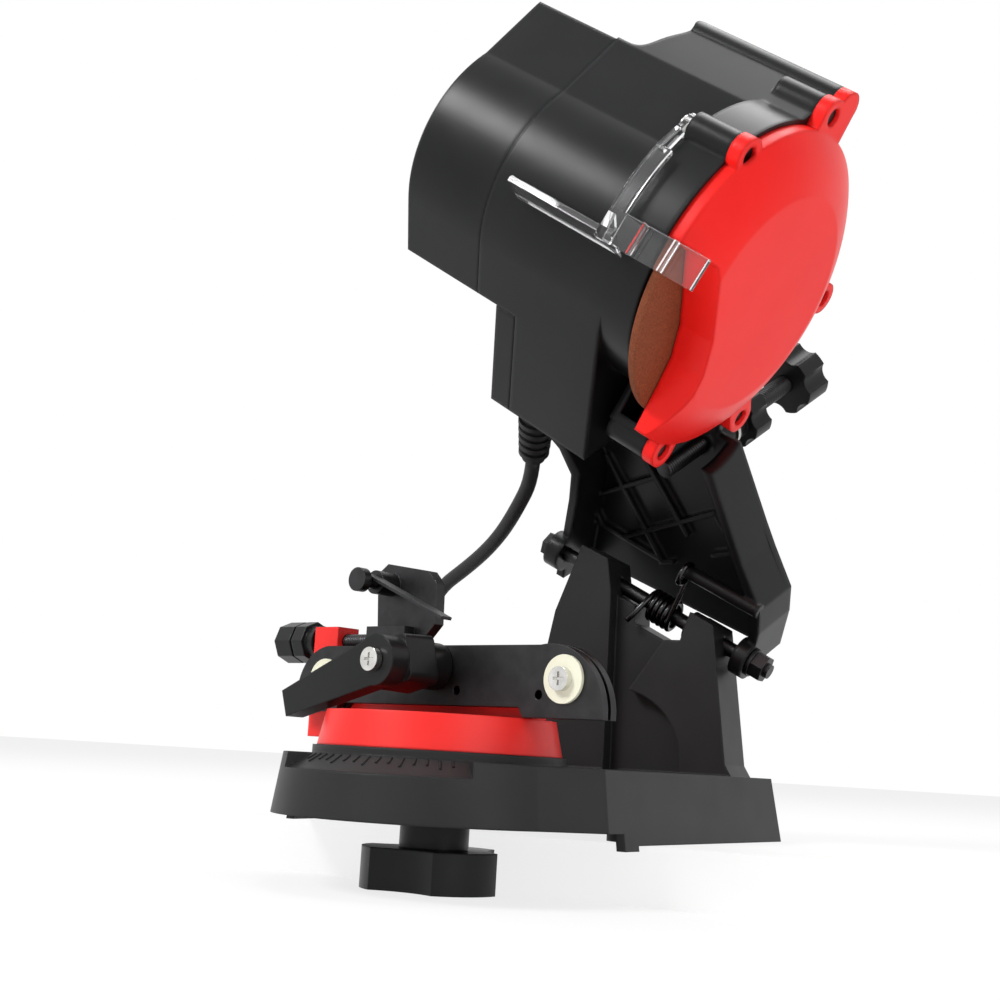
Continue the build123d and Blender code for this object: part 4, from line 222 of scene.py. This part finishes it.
BLACK = (0.004, 0.0043, 0.0046)
CHARCOAL = (0.008, 0.0084, 0.009)
MATERIALS = {
    "black_housing": moulded("black_housing", BLACK, CHARCOAL, 0.3, edge=0.0022, grain=3200, depth=0.14,
                             shine=0.22),
    "black_base": moulded("black_base", (0.011, 0.011, 0.0115), (0.019, 0.019, 0.0195), 0.44, edge=0.0012,
                          depth=0.35, shine=0.22),
    "black_knob": moulded("black_knob", BLACK, (0.01, 0.0104, 0.011), 0.34, edge=0.0009, shine=0.22),
    "red_guard": moulded("red_guard", (0.86, 0.009, 0.007), (0.92, 0.015, 0.011), 0.36, edge=0.0022,
                         depth=0.12, shine=0.2),
    "red_vise": moulded("red_vise", (0.8, 0.018, 0.015), (0.87, 0.028, 0.023), 0.38, edge=0.0009, depth=0.18,
                        shine=0.3),
    "clear_visor": clear(),
    "abrasive": abrasive(),
    "black_steel": metal("black_steel", (0.05, 0.05, 0.052), 0.4, edge=0.0004, streak_scale=1500),
    "zinc_steel": metal("zinc_steel", (0.62, 0.61, 0.58), 0.3),
    "bright_zinc": metal("bright_zinc", (0.78, 0.77, 0.74), 0.2),
    "cream_washer": moulded("cream_washer", (0.74, 0.73, 0.56), (0.82, 0.81, 0.66), 0.4, edge=0.0003),
    "spring_steel": metal("spring_steel", (0.05, 0.05, 0.052), 0.24, edge=0.0001),
    "flange_alloy": metal("flange_alloy", (0.6, 0.6, 0.61), 0.36),
    "motor_iron": metal("motor_iron", (0.32, 0.31, 0.3), 0.5),
    "copper": metal("copper", (0.78, 0.33, 0.17), 0.3),
    "carbon": moulded("carbon", (0.012, 0.012, 0.013), (0.03, 0.03, 0.032), 0.62, edge=0.0001),
    "brass_holder": metal("brass_holder", (0.72, 0.5, 0.2), 0.32),
    "white_fan": moulded("white_fan", (0.72, 0.72, 0.7), (0.8, 0.8, 0.78), 0.42),
    "red_rocker": moulded("red_rocker", (0.6, 0.012, 0.01), (0.7, 0.02, 0.016), 0.28),
    "cord_rubber": rubber("cord_rubber", (0.013, 0.013, 0.014)),
}
for part in frame["record"]["subparts"]:
    mesh = nodes[part["node"]].data
    mesh.materials.clear()
    mesh.materials.append(MATERIALS[part["material_slot"]])


# ---- mesh helpers -----------------------------------------------------------------------------
def add_piece(name, mesh, material, body=None, stands_for=(), smooth=True):
    """A new object of this mesh, with its material, on its body, in place of the nodes it stands for."""
    piece = bpy.data.objects.new(name, mesh)
    scene.collection.objects.link(piece)
    mesh.materials.append(MATERIALS[material])
    if smooth:
        for face in mesh.polygons:
            face.use_smooth = True
    if body:
        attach(piece, body)
    if stands_for:
        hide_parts(*stands_for)
    return piece


def spline_points(points, per_span=6):
    """Points of the quadratic NURBS whose control points these are."""
    curve = bpy.data.curves.new("line", "CURVE")
    curve.dimensions = "3D"
    line = curve.splines.new("NURBS")
    line.points.add(len(points) - 1)
    for slot, at in zip(line.points, points):
        slot.co = (*at, 1)
    line.order_u = 3
    line.use_endpoint_u = True
    line.resolution_u = per_span
    holder = bpy.data.objects.new("line", curve)
    scene.collection.objects.link(holder)
    bpy.context.view_layer.update()
    shown = holder.evaluated_get(bpy.context.evaluated_depsgraph_get())
    mesh = bpy.data.meshes.new_from_object(shown)
    found = [v.co.copy() for v in mesh.vertices]
    bpy.data.objects.remove(holder)
    return found


def tube_skin(name, made, rings):
    """The mesh that joins the rings of vertices to one closed tube."""
    for low, high in zip(rings, rings[1:]):
        for side in range(len(low)):
            made.faces.new((low[side - 1], low[side], high[side], high[side - 1]))
    made.faces.new(list(reversed(rings[0])))
    made.faces.new(rings[-1])
    return closed_mesh(name, made)


def closed_mesh(name, made):
    bmesh.ops.recalc_face_normals(made, faces=made.faces)
    mesh = bpy.data.meshes.new(name)
    made.to_mesh(mesh)
    made.free()
    return mesh


def tube_mesh(name, path, radius, sides=14):
    """A round tube along path, turned as little as possible from ring to ring."""
    made = bmesh.new()
    rings = []
    ahead = (path[1] - path[0]).normalized()
    across = ahead.orthogonal().normalized()
    for i, at in enumerate(path):
        ahead = (path[min(i + 1, len(path) - 1)] - path[max(i - 1, 0)]).normalized()
        across = (across - ahead * across.dot(ahead)).normalized()
        other = ahead.cross(across)
        ring = []
        for side in range(sides):
            turn = 2 * math.pi * side / sides
            spot = at + across * (radius * math.cos(turn)) + other * (radius * math.sin(turn))
            ring.append(made.verts.new(spot))
        rings.append(ring)
    return tube_skin(name, made, rings)


# ---- power cord -------------------------------------------------------------------------------
CORD_R = 3.1                         # millimetres, here and below
GLAND_TIP = Vector((-10.91, 39.46, 148.40))
GLAND_DIR = Vector((-0.379, 0.707, -0.597))
ROUTE = (                            # from the gland to the bench behind the base
    (-24.5, 55.0, 131.0),
    (-35.0, 63.0, 122.0),
    (-46.5, 70.0, 114.5),
    (-60.0, 76.5, 107.5),
    (-75.0, 82.0, 100.0),
    (-86.0, 88.0, 86.0),
    (-91.0, 95.0, 66.0),
    (-92.0, 106.0, 45.0),
    (-92.0, 123.0, 26.0),
    (-90.0, 143.0, 12.0),
    (-86.0, 161.0, 4.5),
    (-78.0, 175.0, 3.4),
    (-65.0, 181.5, 3.4),
    (-50.9, 182.5, 3.4),
)
COIL_AT = Vector((-20.0, 148.0))
COIL_FROM = math.radians(108)        # where the route runs into the coil
LANES = (40.5, 34.05, 27.6)          # radii of the turns: inwards on the bench, outwards above
TURN_POINTS = 16
LOW_Z = 3.4
HIGH_Z = 9.7
PLUG_AXIS_Z = 19.8
PLUG_TAIL_X = -31.6
BEND_AT = Vector((-34.3, 148.0))     # the last bend leads the cord into the plug's tail
BEND_R = 26.1
SHIFT_POINTS = 3                     # points in which a turn moves over to its lane
LAST_POINTS = 13                     # the last turn is cut short
CLIMB_POINTS = 5                     # and climbs over its last points


def ring_point(lane, angle, z):
    return (COIL_AT.x + lane * math.cos(angle), COIL_AT.y + lane * math.sin(angle), z)


cord_line = [tuple(GLAND_TIP), tuple(GLAND_TIP + GLAND_DIR * 13)]
cord_line += ROUTE
angle = COIL_FROM
step = 2 * math.pi / TURN_POINTS
path_plan = [(lane, LOW_Z) for lane in LANES] + [(lane, HIGH_Z) for lane in reversed(LANES)]
for index, (lane, z) in enumerate(path_plan):
    before_lane, before_z = path_plan[index - 1] if index else (lane, z)
    last = index == len(path_plan) - 1
    for k in range(LAST_POINTS if last else TURN_POINTS):
        share = min(1.0, k / SHIFT_POINTS)
        climb = max(0.0, (k - LAST_POINTS + CLIMB_POINTS) / CLIMB_POINTS) if last else 0.0
        cord_line.append(ring_point(before_lane + (lane - before_lane) * share, angle,
                                    before_z + (z - before_z) * share + (PLUG_AXIS_Z - HIGH_Z) * climb))
        angle -= step
for turn in (180, 157.5, 135, 112.5, 90):
    bend = math.radians(turn)
    cord_line.append((BEND_AT.x + BEND_R * math.cos(bend), BEND_AT.y + BEND_R * math.sin(bend), PLUG_AXIS_Z))
cord_line.append((PLUG_TAIL_X, BEND_AT.y + 26.0, PLUG_AXIS_Z))
cord_path = spline_points([Vector(p) * MM for p in cord_line], 5)
cord = add_piece("cord_run", tube_mesh("cord_run", cord_path, CORD_R * MM), "cord_rubber")
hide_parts("power_cord", "cord_coil")
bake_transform(cord)

# ---- spring -----------------------------------------------------------------------------------
PIN_TILT = math.radians(27.8)
PIN_AT = Vector((19.3, 86.0, 96.8))
PIN_DIR = Vector((math.cos(PIN_TILT), 0, -math.sin(PIN_TILT)))
PIN_UP = Vector((math.sin(PIN_TILT), 0, math.cos(PIN_TILT)))
SPRING_R = 5.9
WIRE_R = 1.15
SPRING_PITCH = 2.4
SPRING_TURNS = 4.9
SPRING_FROM = 6.6
SPRING_LEG = 15.0
PEG = (-14.0, 20.0)
HOOK_R = 4.5
COIL_STEPS = 24


def pin_point(along, back, up):
    return PIN_AT + PIN_DIR * along + Vector((0, back, 0)) + PIN_UP * up


def spring_path():
    """The wire from the base's leg through the coil to the hook about the peg, and the hook's two ends."""
    away = math.hypot(*PEG)
    lean = math.asin((SPRING_R + HOOK_R) / away)
    hook_turn = math.atan2(PEG[1], PEG[0]) - lean
    hook_long = math.sqrt(away ** 2 - (SPRING_R + HOOK_R) ** 2)
    start = hook_turn + math.pi / 2 + 2 * math.pi * SPRING_TURNS
    points = []
    count = round(COIL_STEPS * SPRING_TURNS)
    for k in range(count + 1):
        turned = SPRING_TURNS * k / count
        a = start - 2 * math.pi * turned
        along = SPRING_FROM + SPRING_PITCH * turned
        points.append(pin_point(along, SPRING_R * math.cos(a), SPRING_R * math.sin(a)))
    leg = (points[0] - points[1]).normalized()
    points.insert(0, points[0] + leg * SPRING_LEG)
    ahead = (points[-1] - points[-2]).normalized()
    side = PIN_DIR.cross(ahead).normalized()
    foot = points[-1]
    points += [foot + ahead * (hook_long * k / 8) for k in range(1, 9)]
    for turn in range(15, 316, 15):
        a = math.radians(turn)
        forward = ahead * (hook_long + HOOK_R * math.sin(a))
        points.append(foot + forward + side * (HOOK_R * (1 - math.cos(a))))
    return [p * MM for p in points], foot * MM, (foot + ahead * (hook_long - 3)) * MM


wire, wire_foot, wire_ring = spring_path()
spring = add_piece("spring_wire", tube_mesh("spring_wire", wire, WIRE_R * MM, 12), "spring_steel")
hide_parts("torsion_spring")
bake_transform(spring)

# ---- screw threads ----------------------------------------------------------------------------
def threaded_mesh(name, foot, tip, radius, pitch, depth=0.35, sides=28, per_turn=7):
    """A rod whose surface winds as a thread from foot to tip, where it narrows."""
    ahead = (tip - foot).normalized()
    across = ahead.orthogonal().normalized()
    other = ahead.cross(across)
    long = (tip - foot).length
    count = max(2, round(long / pitch * per_turn))
    made = bmesh.new()
    rings = []
    for i in range(count + 1):
        run = long * i / count
        ring = []
        for side in range(sides):
            share = side / sides
            phase = (run / pitch - share) % 1.0
            cut = abs(2 * phase - 1) * depth if i else 0.0
            if i == count:
                cut = depth * 1.6
            turn = 2 * math.pi * share
            size = radius - cut
            spot = foot + ahead * run + across * (size * math.cos(turn)) + other * (size * math.sin(turn))
            ring.append(made.verts.new(spot * MM))
        rings.append(ring)
    return tube_skin(name, made, rings)


DEPTH_TOP = pin_point(5.0, 22.5, 111.7)
DEPTH_TIP = pin_point(-0.4, -38.8, 51.7)
DEPTH_IN_KNOB = 3.5
depth_dir = (DEPTH_TIP - DEPTH_TOP).normalized()
depth_rod = threaded_mesh("depth_rod", DEPTH_TOP - depth_dir * DEPTH_IN_KNOB, DEPTH_TIP, 4.0, 1.25)
add_piece("depth_rod", depth_rod, "black_steel", "depth_screw", ("depth_screw",))

SWIVEL = math.radians(14.4)
VISE_AT = Vector((0, -42.0, 0))
VISE_RIGHT = Vector((math.cos(SWIVEL), -math.sin(SWIVEL), 0))
VISE_BACK = Vector((math.sin(SWIVEL), math.cos(SWIVEL), 0))


def vise_point(along, back, up):
    return VISE_AT + VISE_RIGHT * along + VISE_BACK * back + Vector((0, 0, up))


STOP_FOOT = vise_point(-94.0, 9.0, 66.6)
STOP_TIP = vise_point(-34.0, 9.0, 66.6)
stop_rod = threaded_mesh("stop_rod", STOP_FOOT, STOP_TIP, 3.0, 1.0, depth=0.28)
add_piece("stop_rod", stop_rod, "black_steel", "stop_screw", ("stop_screw",))

# ---- angle scale ------------------------------------------------------------------------------
BAND_TOP = (45.0, 24.6)              # radius and height of the band's upper and lower edge
BAND_LOW = (53.5, 19.3)
TICK_FROM = 0.5
TICK_LONG = 5.6
TICK_SHORT = 4.0


def scale_mesh():
    """Raised lines on the sloping band, longer at every third one."""
    run = Vector((BAND_LOW[0] - BAND_TOP[0], BAND_LOW[1] - BAND_TOP[1])).normalized()
    made = bmesh.new()
    for index, degrees in enumerate(range(-35, 36, 5)):
        a = math.radians(degrees - 90)
        out = Vector((math.cos(a), math.sin(a), 0))
        across = Vector((-out.y, out.x, 0))
        down = out * run.x + Vector((0, 0, run.y))
        rise = Vector((0, 0, run.x)) - out * run.y
        long = TICK_LONG if index % 3 == 1 else TICK_SHORT
        foot = VISE_AT + out * BAND_TOP[0] + Vector((0, 0, BAND_TOP[1]))
        corners = []
        for high, half in ((-0.1, 0.5), (0.4, 0.28)):
            for x, y in ((TICK_FROM, -half), (TICK_FROM, half), (long, half), (long, -half)):
                corners.append(made.verts.new((foot + down * x + across * y + rise * high) * MM))
        for face in ((3, 2, 1, 0), (4, 5, 6, 7), (0, 1, 5, 4), (1, 2, 6, 5), (2, 3, 7, 6), (3, 0, 4, 7)):
            made.faces.new([corners[k] for k in face])
    return closed_mesh("scale_marks", made)


add_piece("scale_marks", scale_mesh(), "black_base", "base", smooth=False)

# ---- floor and light --------------------------------------------------------------------------
FLOOR_GLOW = 0.8     # share of plain white that a look at the floor sees, the rest keeps the shadow
ROOM_LIGHT = 0.42


def floor_material():
    n = Nodes("floor")
    rays = n.add("ShaderNodeLightPath")
    seen = n.add("ShaderNodeMath", operation="MAXIMUM")
    n.feed(seen.inputs[0], rays.outputs["Is Camera Ray"])
    n.feed(seen.inputs[1], rays.outputs["Is Transmission Ray"])
    shown = n.add("ShaderNodeMath", operation="MAXIMUM")
    n.feed(shown.inputs[0], seen.outputs[0])
    n.feed(shown.inputs[1], rays.outputs["Is Glossy Ray"])
    part = n.add("ShaderNodeMath", operation="MULTIPLY")
    n.feed(part.inputs[0], shown.outputs[0])
    part.inputs[1].default_value = FLOOR_GLOW
    diffuse = n.add("ShaderNodeBsdfDiffuse")
    diffuse.inputs["Color"].default_value = (0.93, 0.93, 0.93, 1)
    glow = n.add("ShaderNodeEmission")
    glow.inputs["Color"].default_value = (1, 1, 1, 1)
    mixed = n.add("ShaderNodeMixShader")
    n.feed(mixed.inputs[0], part.outputs[0])
    n.feed(mixed.inputs[1], diffuse.outputs[0])
    n.feed(mixed.inputs[2], glow.outputs[0])
    n.feed(n.out.inputs["Surface"], mixed.outputs[0])
    return n.mat


def slab(name, x0, x1, y0, y1, z0, z1):
    """A pale box that is part of the stage."""
    made = bmesh.new()
    bmesh.ops.create_cube(made, size=1.0)
    for vertex in made.verts:
        vertex.co = (x0 + (x1 - x0) * (vertex.co.x + 0.5), y0 + (y1 - y0) * (vertex.co.y + 0.5),
                     z0 + (z1 - z0) * (vertex.co.z + 0.5))
    mesh = bpy.data.meshes.new(name)
    made.to_mesh(mesh)
    made.free()
    mesh.materials.append(white)
    block = bpy.data.objects.new(name, mesh)
    scene.collection.objects.link(block)


white = floor_material()
slab("bench", -6, 6, -0.0165, 6, -0.04, 0)
slab("floor", -6, 6, -6, 0, -0.06, -0.0202)

world = bpy.data.worlds.new("studio")
scene.world = world
world.use_nodes = True
tree = world.node_tree
tree.nodes.clear()
out = tree.nodes.new("ShaderNodeOutputWorld")
rays = tree.nodes.new("ShaderNodeLightPath")
backdrop = tree.nodes.new("ShaderNodeBackground")
backdrop.inputs["Color"].default_value = (1, 1, 1, 1)
room = tree.nodes.new("ShaderNodeBackground")
room.inputs["Color"].default_value = (1, 1, 1, 1)
room.inputs["Strength"].default_value = ROOM_LIGHT
seen = tree.nodes.new("ShaderNodeMath")
seen.operation = "MAXIMUM"
tree.links.new(rays.outputs["Is Camera Ray"], seen.inputs[0])
tree.links.new(rays.outputs["Is Transmission Ray"], seen.inputs[1])
both = tree.nodes.new("ShaderNodeMath")
both.operation = "MAXIMUM"
tree.links.new(seen.outputs[0], both.inputs[0])
tree.links.new(rays.outputs["Is Glossy Ray"], both.inputs[1])
mixed = tree.nodes.new("ShaderNodeMixShader")
tree.links.new(both.outputs[0], mixed.inputs[0])
tree.links.new(room.outputs[0], mixed.inputs[1])
tree.links.new(backdrop.outputs[0], mixed.inputs[2])
tree.links.new(mixed.outputs[0], out.inputs["Surface"])


def lamp(name, at, aim, size, power):
    """An area lamp of this size and power in watts, turned to aim."""
    data = bpy.data.lights.new(name, "AREA")
    data.shape = "RECTANGLE"
    data.size, data.size_y = size
    data.energy = power
    light = bpy.data.objects.new(name, data)
    light.location = at
    light.rotation_euler = (Vector(aim) - Vector(at)).to_track_quat("-Z", "Y").to_euler()
    scene.collection.objects.link(light)


lamp("key", (-0.55, -0.95, 1.0), (0, 0, 0.15), (0.6, 0.35), 14)
lamp("fill", (1.3, -0.7, 0.5), (0.05, 0, 0.12), (0.8, 0.8), 4)
lamp("top", (0.15, 0.25, 1.35), (0, 0, 0.1), (0.9, 0.7), 9)
